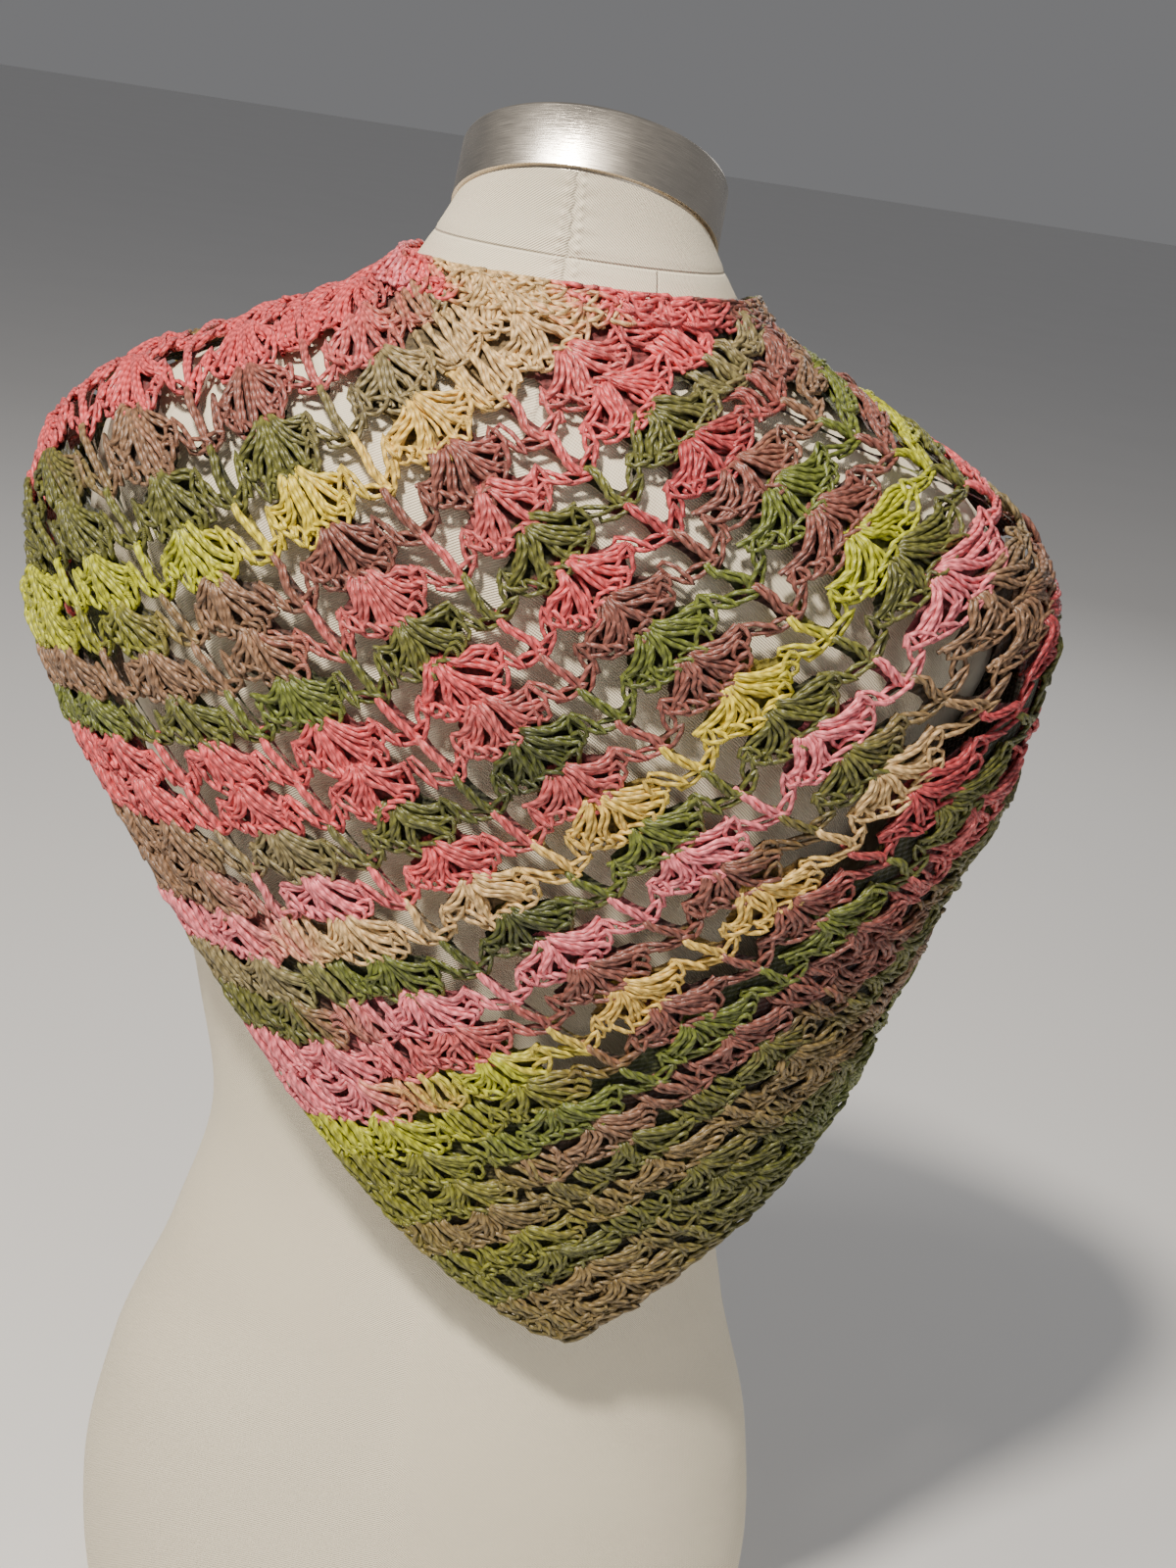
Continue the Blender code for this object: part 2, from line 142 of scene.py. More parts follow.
# The shade of each row from the left leg to the right, one word for each column of shells
ROW_DYES = {
    -8: "STONE OLIVE OLIVE GREEN",
    -7: "TAUPE ROSE CORAL",
    -6: "GREEN LIME YELLOW GOLD CORAL",
    -5: "OLIVE OLIVE OLIVE ROSE CORAL ROSE",
    -4: "CORAL CORAL CORAL CORAL CORAL ROSE TAUPE",
    -3: "CORAL CORAL CORAL CORAL CORAL BROWN SAND",
    -2: "OLIVE OLIVE TAUPE BROWN ROSE STONE SAND",
    -1: "OLIVE OLIVE OLIVE OLIVE STONE SAND SAND",
    0: "LIME LIME LIME YELLOW GOLD SAND CORAL",
    1: "LIME LEAF TAUPE BROWN BROWN ROSE CORAL",
    2: "TAUPE TAUPE TAUPE ROSE ROSE CORAL CORAL",
    3: "GREEN OLIVE GREEN OLIVE OLIVE OLIVE STONE",
    4: "CORAL CORAL CORAL CORAL CORAL RED BROWN",
    5: "CORAL CORAL CORAL ROSE BROWN BROWN TAUPE",
    6: "TAUPE STONE OLIVE MOSS GREEN GREEN GREEN",
    7: "TAUPE PINK CORAL ROSE BROWN BROWN BROWN",
    8: "PINK SAND SAND GOLD YELLOW LIME LIME",
    9: "STONE GREEN MOSS GREEN OLIVE OLIVE OLIVE",
    10: "OLIVE PINK PINK PINK PINK PINK CORAL",
    11: "PINK ROSE BROWN BROWN OLIVE TAUPE STONE",
    12: "PINK LIME GOLD GOLD SAND TAUPE BROWN",
    13: "LIME LEAF BROWN BROWN RED RED RED",
    14: "LEAF GREEN GREEN GREEN OLIVE OLIVE PINK",
    15: "LEAF TAUPE BROWN BROWN ROSE RED OLIVE",
    16: "TAN OLIVE OLIVE BROWN OLIVE TAN OLIVE",
    17: "LEAF TAN TAN OLIVE OLIVE OLIVE SAND",
    18: "OLIVE OLIVE TAN TAUPE OLIVE BROWN OLIVE",
    19: "TAN OLIVE OLIVE GREEN TAN OLIVE TAN",
    20: "TAN OLIVE GREEN OLIVE OLIVE OLIVE OLIVE",
}

# The shade along the left leg, for the rows where it differs from the first column's
LEG_DYES = {15: "LEAF", 16: "LEAF", 17: "OLIVE", 18: "LEAF", 19: "OLIVE", 20: "OLIVE"}

# The neck band's shades from the left end to the right, one word for each step
BAND_ROW = 100
BAND_START = 0.517
BAND_STEP = 0.025
BAND_DYES = (
    "OLIVE GREEN TAUPE ROSE CORAL PINK ROSE BROWN OLIVE STONE CORAL CORAL ROSE BROWN TAUPE "
    "ROSE CORAL PINK CORAL SAND SAND CORAL CORAL BROWN TAUPE OLIVE BROWN TAUPE OLIVE STONE "
    "GREEN LIME YELLOW OLIVE CORAL PINK OLIVE BROWN TAUPE SAND OLIVE"
)

# The order in which the yarn's shades follow each other where no row is charted
DYE_ORDER = "CORAL PINK ROSE BROWN TAUPE OLIVE MOSS GREEN LIME YELLOW GOLD SAND TAN RED".split()


def linear_colour(code: str) -> np.ndarray:
    """Turn six hexadecimal digits of a display colour into linear red, green and blue."""
    shown = np.array([int(code[i : i + 2], 16) / 255 for i in (0, 2, 4)])
    return np.where(shown <= 0.04045, shown / 12.92, ((shown + 0.055) / 1.055) ** 2.4)


def smooth_step(low: float, high: float, value: np.ndarray) -> np.ndarray:
    """Rise smoothly from 0 at low to 1 at high."""
    part = np.clip((value - low) / (high - low), 0.0, 1.0)
    return part * part * (3.0 - 2.0 * part)


def column_curve(heights: np.ndarray, values: np.ndarray, at: np.ndarray) -> np.ndarray:
    """Read one column of a section table on a smooth curve that never overshoots.

    Args:
        heights: The table's heights.
        values: The table's values at those heights.
        at: The heights to read.

    Returns:
        The value at each of those heights.
    """
    steps = np.diff(heights)
    slopes = np.diff(values) / steps
    tangents = np.zeros(len(heights))
    same_way = slopes[:-1] * slopes[1:] > 0
    before = 2 * steps[1:] + steps[:-1]
    after = steps[1:] + 2 * steps[:-1]
    first, second = np.where(same_way, slopes[:-1], 1.0), np.where(same_way, slopes[1:], 1.0)
    mean = (before + after) / (before / first + after / second)
    tangents[1:-1] = np.where(same_way, mean, 0.0)
    tangents[0] = slopes[0]
    tangents[-1] = slopes[-1]
    index = np.clip(np.searchsorted(heights, at) - 1, 0, len(steps) - 1)
    width = steps[index]
    u = np.clip((at - heights[index]) / width, 0.0, 1.0)
    rise = (3 - 2 * u) * u * u
    lead_in = u * (1 - u) ** 2 * width * tangents[index]
    lead_out = u * u * (u - 1) * width * tangents[index + 1]
    return values[index] * (1 - rise) + values[index + 1] * rise + lead_in + lead_out


class Body:
    """A body of rounded level sections, read from a table."""

    def __init__(self, sections: tuple) -> None:
        """Keep the table of sections: height, half width, depth behind and in front."""
        table = np.array(sections)
        self.heights = table[:, 0]
        self.columns = table[:, 1:]

    def point(self, azimuth: np.ndarray, height: np.ndarray) -> np.ndarray:
        """Return the place at an azimuth from the middle of the back, towards -X."""
        half_width, back, front = (
            column_curve(self.heights, self.columns[:, i], height) for i in range(3)
        )
        sine, cosine = np.sin(azimuth), np.cos(azimuth)
        depth = np.where(cosine > 0, back, front)
        power = 2.0 / SECTION_ROUNDNESS
        x = -half_width * np.sign(sine) * np.abs(sine) ** power
        y = depth * np.sign(cosine) * np.abs(cosine) ** power
        return np.stack([x, y, height + 0 * x], axis=-1)


@dataclass
class Drape:
    """Lays points of the flat shawl on the surface that the worn lace follows.

    The rule is costly, so it is worked out once on a grid over the flat shawl. Everything
    else reads places and normals from that grid.
    """

    top: float = 0.735
    foot: float = 0.090
    table_steps: int = 240
    grid_step: float = 0.005
    wing_turn: tuple = (0.080, 0.250)
    left_later: float = 0.60
    right_later: float = 0.10
    wing_edge: float = math.radians(155)
    left_narrowing: float = math.radians(300)
    right_narrowing: float = math.radians(150)
    left_down: float = -0.090
    right_down: float = -0.060
    wing_folds: float = 3.5
    fold_depth: float = 0.012
    fold_start: tuple = (0.200, 0.340)

    def __post_init__(self) -> None:
        """Measure the body's meridians and sections, and fill the grid."""
        self.body = Body(DRAPE_SECTIONS)
        self.azimuths = np.linspace(-math.pi, math.pi, self.table_steps + 1)
        self.levels = np.linspace(self.top, self.foot, self.table_steps)
        azimuth, level = np.meshgrid(self.azimuths, self.levels)
        places = self.body.point(azimuth, level)
        down = np.linalg.norm(np.diff(places, axis=0), axis=2).cumsum(axis=0)
        self.down = np.vstack([np.zeros((1, len(self.azimuths))), down])
        around = np.linalg.norm(np.diff(places, axis=1), axis=2).cumsum(axis=1)
        around = np.hstack([np.zeros((len(self.levels), 1)), around])
        self.around = around - around[:, [self.table_steps // 2]]
        self.grid_across = np.arange(-0.55, 0.5501, self.grid_step)
        self.grid_depth = np.arange(-0.015, 0.5501, self.grid_step)
        across, depth = np.meshgrid(self.grid_across, self.grid_depth)
        places = self.surface(across.ravel(), depth.ravel()).reshape(*across.shape, 3)
        by_depth, by_width = np.gradient(places, axis=(0, 1))
        normals = np.cross(by_width, by_depth)
        normals /= np.linalg.norm(normals, axis=2, keepdims=True)
        outward = np.sign((normals * places * (1.0, 1.0, 0.0)).sum(axis=2, keepdims=True))
        self.grid = np.concatenate([places, normals * outward], axis=2)

    def level_at(self, azimuth: np.ndarray, down: np.ndarray) -> np.ndarray:
        """Return the height that lies so far down the meridian of each azimuth."""
        place = (azimuth + math.pi) / (2 * math.pi) * self.table_steps
        index = np.clip(place.astype(int), 0, self.table_steps - 1)
        part = place - index
        found = np.empty(len(azimuth))
        for i, (k, u, length) in enumerate(zip(index, part, down)):
            meridian = self.down[:, k] * (1 - u) + self.down[:, k + 1] * u
            found[i] = np.interp(length, meridian, self.levels)
        return found

    def azimuth_at(self, around: np.ndarray, level: np.ndarray) -> np.ndarray:
        """Return the azimuth that lies so far round the section at each height."""
        place = (self.top - level) / (self.top - self.foot) * (self.table_steps - 1)
        index = np.clip(place.astype(int), 0, self.table_steps - 2)
        part = place - index
        found = np.empty(len(around))
        for i, (k, u, length) in enumerate(zip(index, part, around)):
            section = self.around[k] * (1 - u) + self.around[k + 1] * u
            found[i] = np.interp(length, section, self.azimuths)
        return found

    def back_lie(self, across: np.ndarray, depth: np.ndarray) -> tuple:
        """Return the azimuth and the way down of lace on the back and shoulders."""
        around = 0.0045 + 0.328 * depth - 0.39 * depth**2
        around = around + (1.116 + 0.29 * depth) * across - 0.11 * across**2
        at_neck = np.exp(-np.maximum(depth, 0.0) / 0.040)
        slope = -0.152 * (1 - at_neck) + depth
        down = 0.023 + 0.006 * at_neck + 1.117 * depth - 0.40 * depth**2
        down = down + slope * across + 0.26 * across**2
        azimuth = around / np.max(self.body.columns)
        for _ in range(12):
            level = self.level_at(azimuth, down)
            azimuth = 0.4 * azimuth + 0.6 * self.azimuth_at(around, level)
        return azimuth, down

    def surface(self, across: np.ndarray, depth: np.ndarray) -> np.ndarray:
        """Lay flat points on the body: metres across from the nape, and below the neck edge."""
        later = np.where(across < 0, self.left_later, self.right_later) * depth
        turn = smooth_step(*self.wing_turn, np.abs(across) - later)
        near = np.clip(across, -self.wing_turn[1] - later, self.wing_turn[1] + later)
        azimuth, down = self.back_lie(near, depth)
        side = np.where(across < 0, -1.0, 1.0)
        narrowing = np.where(across < 0, self.left_narrowing, self.right_narrowing)
        wing_azimuth = side * (self.wing_edge - narrowing * depth)
        start = np.where(across < 0, self.left_down, self.right_down)
        wing_down = start + np.abs(across) + 0.60 * depth
        azimuth = azimuth * (1 - turn) + wing_azimuth * turn
        down = down * (1 - turn) + wing_down * turn
        places = self.body.point(azimuth, self.level_at(azimuth, down))
        wave = 0.5 - 0.5 * np.cos(self.wing_folds * 4 * math.pi * depth / SHAWL_DEPTH)
        fold = self.fold_depth * wave * smooth_step(*self.fold_start, np.abs(across))
        outward = places * (1.0, 1.0, 0.0)
        outward /= np.linalg.norm(outward, axis=1, keepdims=True)
        return places + outward * fold[:, None]

    def lay(self, flat: np.ndarray) -> np.ndarray:
        """Lay points of the flat lace on the form.

        Args:
            flat: An array of rows: metres from the left leg, metres from the right leg, and
                the lift above the middle of the cloth.

        Returns:
            The places of the same points in space.
        """
        across = (flat[:, 0] - flat[:, 1]) / math.sqrt(2)
        depth = SHAWL_DEPTH - (flat[:, 0] + flat[:, 1]) / math.sqrt(2)
        depth = np.maximum(depth, 0.0015 + 0.12 * np.minimum(depth, 0.0))
        column = (across - self.grid_across[0]) / self.grid_step
        row = (depth - self.grid_depth[0]) / self.grid_step
        i = np.clip(row.astype(int), 0, len(self.grid_depth) - 2)
        j = np.clip(column.astype(int), 0, len(self.grid_across) - 2)
        u, v = (row - i)[:, None], (column - j)[:, None]
        low = self.grid[i, j] * (1 - v) + self.grid[i, j + 1] * v
        high = self.grid[i + 1, j] * (1 - v) + self.grid[i + 1, j + 1] * v
        found = low * (1 - u) + high * u
        return found[:, :3] + found[:, 3:] * flat[:, 2:3]


class DyeChart:
    """Says which shade the yarn has at each place of each row."""

    def __init__(self) -> None:
        """Fill the chart's missing rows and columns in the yarn's own order of shades."""
        columns = int(LEG / REPEAT) + 3
        self.shades = {}
        for row in range(FIRST_ROW - 2, LAST_ROW + 3):
            words = ROW_DYES.get(row, DYE_ORDER[(5 * row) % len(DYE_ORDER)]).split()
            words.insert(0, LEG_DYES.get(row, words[0]))
            while len(words) < columns:
                last = DYE_ORDER.index(words[-1]) if words[-1] in DYE_ORDER else 5
                words.append(DYE_ORDER[(last + len(words) % 2) % len(DYE_ORDER)])
            self.shades[row] = np.array([Dye[word].linear for word in words])
        self.band_shades = np.array([Dye[word].linear for word in BAND_DYES.split()])

    def colour(self, row: int, from_left_leg: np.ndarray) -> np.ndarray:
        """Return the yarn's colour in one row at each distance from the left leg."""
        if row >= BAND_ROW:
            return self.band_colour(from_left_leg - LEG / 2)
        shades = self.shades[int(np.clip(row, FIRST_ROW - 2, LAST_ROW + 2))]
        place = np.clip((from_left_leg - FIRST_SHELL) / REPEAT + 1.15, 0, len(shades) - 1.001)
        index = place.astype(int)
        part = smooth_step(0.05, 0.95, place - index)[:, None]
        return shades[index] * (1 - part) + shades[index + 1] * part

    def band_colour(self, along: np.ndarray) -> np.ndarray:
        """Return the yarn's colour in the neck band at each distance along from the nape."""
        place = (along * math.sqrt(2) + BAND_START) / BAND_STEP
        shades = self.band_shades
        place = np.clip(place, 0, len(shades) - 1.001)
        index = place.astype(int)
        part = smooth_step(0.25, 0.75, place - index)[:, None]
        return shades[index] * (1 - part) + shades[index + 1] * part

    def ground(self, from_left_leg: np.ndarray, from_right_leg: np.ndarray) -> np.ndarray:
        """Return the shade of the cloth's depths at flat points."""
        rows = np.floor((NAPE_ROW - from_right_leg) / ROW_PITCH + 0.12).astype(int)
        found = np.zeros((len(rows), 3))
        for row in np.unique(rows):
            here = rows == row
            found[here] = self.colour(row, from_left_leg[here])
        return found


@dataclass
class YarnWork:
    """Gathers stitches as paths of yarn and turns them into one mesh of tubes.

    Attributes:
        name: The name of the piece.
        sides: How many sides a tube has.
        radius: The yarn's radius in metres.
    """

    name: str
    sides: int = 5
    radius: float = 0.00106
    paths: list = field(default_factory=list)
    colours: list = field(default_factory=list)
    closed: list = field(default_factory=list)

    def add(self, path: np.ndarray, colours: np.ndarray, closed: bool = False) -> None:
        """Add one strand, as flat points with a lift and a colour at each."""
        self.paths.append(path)
        self.colours.append(colours)
        self.closed.append(closed)

    def triangles(self) -> int:
        """Return how many triangles the tubes gathered so far make."""
        segments = sum(len(p) - (not c) for p, c in zip(self.paths, self.closed))
        return segments * self.sides * 2

    def profile(self) -> bpy.types.Object:
        """Return a ring-shaped curve, the yarn's section."""
        data = bpy.data.curves.new(f"{self.name}_section", "CURVE")
        spline = data.splines.new("POLY")
        spline.points.add(self.sides - 1)
        for i, point in enumerate(spline.points):
            angle = 2 * math.pi * i / self.sides
            across, up = math.cos(angle) * self.radius, math.sin(angle) * self.radius
            point.co = (across, up, 0.0, 1.0)
        spline.use_cyclic_u = True
        return bpy.data.objects.new(data.name, data)

    def build(self, drape: Drape) -> bpy.types.Object:
        """Lay every strand on the form and return the finished piece."""
        laid = drape.lay(np.concatenate(self.paths))
        curve = bpy.data.curves.new(self.name, "CURVE")
        curve.dimensions = "3D"
        curve.twist_mode = "MINIMUM"
        profile = self.profile()
        curve.bevel_mode = "OBJECT"
        curve.bevel_object = profile
        curve.use_fill_caps = False
        start = 0
        along = []
        for path, closed in zip(self.paths, self.closed):
            places = laid[start : start + len(path)]
            start += len(path)
            spline = curve.splines.new("POLY")
            spline.points.add(len(path) - 1)
            spline.points.foreach_set("co", np.hstack([places, np.ones((len(path), 1))]).ravel())
            spline.use_cyclic_u = closed
            steps = np.linalg.norm(np.diff(places, axis=0), axis=1)
            along.append(np.concatenate([[0.0], steps.cumsum()]))
        holder = bpy.data.objects.new(self.name, curve)
        bpy.context.scene.collection.objects.link(holder)
        evaluated = holder.evaluated_get(bpy.context.evaluated_depsgraph_get())
        mesh = bpy.data.meshes.new_from_object(evaluated)
        mesh.name = self.name
        for old in (holder, profile):
            data = old.data
            bpy.data.objects.remove(old, do_unlink=True)
            bpy.data.curves.remove(data)
        colours = np.repeat(np.concatenate(self.colours), self.sides, axis=0)
        if len(mesh.vertices) != len(colours):
            raise RuntimeError(f"{self.name}: {len(mesh.vertices)} points, not {len(colours)}")
        angle = np.tile(np.arange(self.sides) * 2 * math.pi / self.sides, len(laid))
        run = np.repeat(np.concatenate(along), self.sides)
        write_attribute(mesh, "dye", colours)
        write_attribute(mesh, "strand", np.stack([np.cos(angle), np.sin(angle), run], axis=1))
        mesh.shade_smooth()
        return link_piece(self.name, mesh)


def write_attribute(mesh: bpy.types.Mesh, name: str, values: np.ndarray) -> None:
    """Write three numbers for each point of a mesh under a name that materials read."""
    attribute = mesh.attributes.new(name, "FLOAT_VECTOR", "POINT")
    attribute.data.foreach_set("vector", values.astype(np.float32).ravel())


def link_piece(name: str, mesh: bpy.types.Mesh) -> bpy.types.Object:
    """Put a mesh in the scene as an object at the origin."""
    piece = bpy.data.objects.new(name, mesh)
    bpy.context.scene.collection.objects.link(piece)
    return piece


class Socket:
    """A shader socket, or a number, that can be used in Python expressions."""

    def __init__(self, tree: "NodeTree", value: object) -> None:
        """Wrap one socket of a material's node tree."""
        self.tree = tree
        self.value = value

    def math(self, operation: str, *others: object) -> "Socket":
        """Return the result of a Math node on this socket and the others."""
        values = {i: other for i, other in enumerate((self, *others))}
        return self.tree.node("ShaderNodeMath", {"operation": operation}, values)

    def __add__(self, other: object) -> "Socket":
        """Add."""
        return self.math("ADD", other)

    def __sub__(self, other: object) -> "Socket":
        """Subtract."""
        return self.math("SUBTRACT", other)

    def __rsub__(self, other: object) -> "Socket":
        """Subtract this from a number."""
        return Socket(self.tree, other).math("SUBTRACT", self)

    def __mul__(self, other: object) -> "Socket":
        """Multiply."""
        return self.math("MULTIPLY", other)

    __radd__ = __add__
    __rmul__ = __mul__


class NodeTree:
    """Makes the nodes of one material, by one method."""

    def __init__(self, name: str) -> None:
        """Make a new material with its Principled shader."""
        self.material = bpy.data.materials.new(name)
        self.material.use_nodes = True
        self.nodes = self.material.node_tree.nodes
        self.links = self.material.node_tree.links
        self.shader = self.nodes["Principled BSDF"]

    def node(self, kind: str, settings: dict, inputs: dict, output: object = 0) -> Socket:
        """Make a node.

        Args:
            kind: The node's type.
            settings: Its properties, set first. "stops" holds a colour ramp's stops.
            inputs: Values or sockets, by input name or number.
            output: The name or number of the output that is wanted.

        Returns:
            That output.
        """
        made = self.nodes.new(kind)
        for key, value in settings.items():
            if key == "stops":
                self.set_stops(made.color_ramp, value)
            else:
                setattr(made, key, value)
        for key, value in inputs.items():
            self.feed(made.inputs[key], value)
        return Socket(self, made.outputs[output])

    def set_stops(self, ramp: bpy.types.ColorRamp, stops: list) -> None:
        """Give a colour ramp its stops."""
        while len(ramp.elements) < len(stops):
            ramp.elements.new(1.0)
        for element, (position, colour) in zip(ramp.elements, stops):
            element.position = position
            element.color = (*colour, 1.0)

    def feed(self, socket: bpy.types.NodeSocket, value: object) -> None:
        """Link or set one input."""
        raw = value.value if isinstance(value, Socket) else value
        if isinstance(raw, bpy.types.NodeSocket):
            self.links.new(raw, socket)
        else:
            socket.default_value = raw

    def attribute(self, name: str) -> Socket:
        """Return a mesh attribute as a vector."""
        return self.node("ShaderNodeAttribute", {"attribute_name": name}, {}, "Vector")

    def place(self) -> Socket:
        """Return the Object coordinates."""
        return self.node("ShaderNodeTexCoord", {}, {}, "Object")

    def parts(self, vector: Socket) -> list:
        """Return the three parts of a vector."""
        made = self.nodes.new("ShaderNodeSeparateXYZ")
        self.feed(made.inputs[0], vector)
        return [Socket(self, made.outputs[i]) for i in range(3)]

    def noise(self, vector: Socket, scale: float, detail: float = 3.0) -> Socket:
        """Return a noise value."""
        inputs = {"Vector": vector, "Scale": scale, "Detail": detail}
        return self.node("ShaderNodeTexNoise", {}, inputs)

    def tint(self, colour: object, amount: object) -> Socket:
        """Return a colour multiplied by a number that may vary."""
        settings = {"operation": "SCALE"}
        return self.node("ShaderNodeVectorMath", settings, {0: colour, "Scale": amount})

    def blend(self, part: object, first: object, second: object) -> Socket:
        """Return a colour between two, by a part from 0 to 1."""
        settings = {"data_type": "RGBA", "blend_type": "MIX"}
        inputs = {0: part, 6: first, 7: second}
        return self.node("ShaderNodeMix", settings, inputs, 2)

    def bump(self, height: Socket, strength: float, distance: float) -> Socket:
        """Return a normal bent by a height."""
        inputs = {"Height": height, "Strength": strength, "Distance": distance}
        return self.node("ShaderNodeBump", {}, inputs)

    def finish(self, changing: dict, steady: dict) -> bpy.types.Material:
        """Feed the shader and return the material."""
        for key, value in (steady | changing).items():
            self.feed(self.shader.inputs[key], value)
        return self.material


@dataclass(frozen=True)
class YarnFinish:
    """Soft, slightly shiny plied cotton dyed in runs of colour; its plies carry painted highlight and
    shade.
    """

    name: str = "variegated_yarn"
    brightness: float = 0.90
    ply_pitch: float = 0.0046

    def make(self) -> bpy.types.Material:
        """Return the material. It reads the attributes dye and strand."""
        tree = NodeTree(self.name)
        cosine, sine, run = tree.parts(tree.attribute("strand"))
        turn = run * (2 * math.pi / self.ply_pitch)
        twice_sine = sine * cosine * 2
        twice_cosine = cosine * cosine - sine * sine
        ply = turn.math("SINE") * twice_cosine + turn.math("COSINE") * twice_sine
        ridge = ply * 0.5 + 0.5
        place = tree.place()
        fibre = tree.noise(place, 1400.0, 2.0)
        patches = tree.noise(place, 160.0, 2.0)
        # The ply ridges make the base colour lighter on the crowns of the plies and darker between
        # them: painted highlight and painted shade along the twist. The fibre and patch noise is the
        # yarn's own uneven tone.
        shade = ridge * 0.78 + fibre * 0.26 + patches * 0.26 + 0.28
        colour = tree.tint(tree.attribute("dye"), shade * self.brightness)
        height = ridge * 0.8 + fibre * 0.4
        changing = {
            "Base Color": colour,
            "Roughness": fibre * 0.22 + 0.32,
            "Normal": tree.bump(height, 0.85, 0.0006),
        }
        steady = {"Sheen Weight": 0.05, "Sheen Roughness": 0.4, "Specular IOR Level": 0.60}
        return tree.finish(changing, steady)


@dataclass(frozen=True)
class GroundPaintedShadeFinish:
    """The depths of the lace: the backs of the stitches, painted dark as the shade between the yarns.
    """

    name: str = "lace_ground_painted_shade"

    def make(self) -> bpy.types.Material:
        """Return the material. It reads the attributes dye and flat."""
        tree = NodeTree(self.name)
        across, along, _ = tree.parts(tree.attribute("flat"))
        ribs = (across * (2 * math.pi / 0.0045)).math("SINE")
        cross = (along * (2 * math.pi / 0.0038)).math("SINE")
        weave = ribs * cross * 0.5 + 0.5
        fibre = tree.noise(tree.place(), 900.0, 3.0)
        # The dye is darkened to between a twentieth and two fifths of itself: painted shade between
        # the yarns, over a faint weave and uneven fibre tone.
        colour = tree.tint(tree.attribute("dye"), weave * 0.14 + fibre * 0.22 + 0.05)
        changing = {
            "Base Color": colour,
            "Roughness": fibre * 0.2 + 0.7,
            "Normal": tree.bump(weave + fibre, 0.9, 0.0012),
        }
        return tree.finish(changing, {"Sheen Weight": 0.2})


@dataclass(frozen=True)
class JerseyFinish:
    """The form's cream cover: a fine knit with a diagonal grain."""

    name: str = "jersey_cover"
    grain: float = 0.0011
    colour: str = "F7EBD0"
    collar: float = 0.7160

    def make(self) -> bpy.types.Material:
        """Return the material. It reads the attribute cover: metres round, up and aside."""
        tree = NodeTree(self.name)
        around, up, aside = tree.parts(tree.attribute("cover"))
        rise = 2 * math.pi / self.grain
        slant = ((aside * 0.8 + up) * rise).math("SINE")
        counter = ((aside * 1.6 - up * 0.5) * rise).math("SINE")
        knit = slant * 0.5 + counter * 0.18 + 0.5
        place = tree.place()
        soft = tree.noise(place, 9.0, 4.0)
        fuzz = tree.noise(place, 1500.0, 2.0)
        behind = tree.parts(place)[1].math("GREATER_THAN", 0.0)
        on_neck = up.math("GREATER_THAN", 0.640) * behind
        below_collar = up.math("LESS_THAN", self.collar) * on_neck
        wobble = (up * (2 * math.pi / 0.0062)).math("SINE") * 0.0004
        wobble = wobble + tree.noise(place, 210.0, 1.0) * 0.0024 - 0.0012
        seam = self.line(around + wobble, 0.0010) * on_neck
        lips = self.line(around.math("ABSOLUTE") - 0.0030, 0.0016) * on_neck
        stitches = (up * (2 * math.pi / 0.0042)).math("SINE") * lips
        collar = self.line(up - self.collar, 0.0008)
        side_seam = self.line(around - 0.0340, 0.0007) * below_collar
        lines = seam.math("MAXIMUM", collar).math("MAXIMUM", side_seam)
        # The seam lines darken the cover as painted shade in their grooves; the raised lips beside
        # the back seam are a little lighter, a painted highlight, and its stitches lighten and darken
        # with their puckers, painted shading.
        shade = knit * 0.09 + soft * 0.10 + fuzz * 0.08 + lips * 0.04 + 0.84
        shade = shade - lines * 0.20 + stitches * 0.05
        base = tree.tint(tuple(linear_colour(self.colour)), shade)
        height = knit * 0.5 + fuzz * 0.2 + lips * 0.9 + stitches * 0.7 - lines * 1.8
        changing = {
            "Base Color": base,
            "Roughness": fuzz * 0.15 + 0.75,
            "Normal": tree.bump(height, 0.7, 0.0008),
        }
        return tree.finish(changing, {"Sheen Weight": 0.10, "Sheen Roughness": 0.5})


    def line(self, away: Socket, half_width: float) -> Socket:
        """Return 1 on a line and 0 beyond its half width, from a distance to it."""
        return (1.0 - away.math("ABSOLUTE") * (1 / half_width)).math("MAXIMUM", 0.0)


@dataclass(frozen=True)
class SteelFinish:
    """Warm brushed steel, its streaks running round the cap."""

    name: str = "brushed_steel"
    colour: str = "DCD3C6"

    def make(self) -> bpy.types.Material:
        """Return the material. It reads the attribute brushed: metres round and across."""
        tree = NodeTree(self.name)
        around, across, _ = tree.parts(tree.attribute("brushed"))
        inputs = {"X": around * 6.0, "Y": across * 2600.0, "Z": 0.0}
        streaks = tree.noise(tree.node("ShaderNodeCombineXYZ", {}, inputs), 1.0, 3.0)
        marks = tree.noise(tree.place(), 60.0, 3.0)
        base = tree.tint(tuple(linear_colour(self.colour)), streaks * 0.24 + marks * 0.16 + 0.80)
        changing = {
            "Base Color": base,
            "Roughness": streaks * 0.16 + marks * 0.08 + 0.13,
            "Normal": tree.bump(streaks, 0.25, 0.0002),
        }
        return tree.finish(changing, {"Metallic": 1.0, "Anisotropic": 0.6})


@dataclass(frozen=True)
class FloorFinish:
    """A plain pale floor."""

    name: str = "pale_floor"
    colour: str = "E9E8E7"

    def make(self) -> bpy.types.Material:
        """Return the material."""
        tree = NodeTree(self.name)
        shade = tree.noise(tree.place(), 3.0, 2.0) * 0.04 + 0.97
        base = tree.tint(tuple(linear_colour(self.colour)), shade)
        return tree.finish({"Base Color": base}, {"Roughness": 0.9})


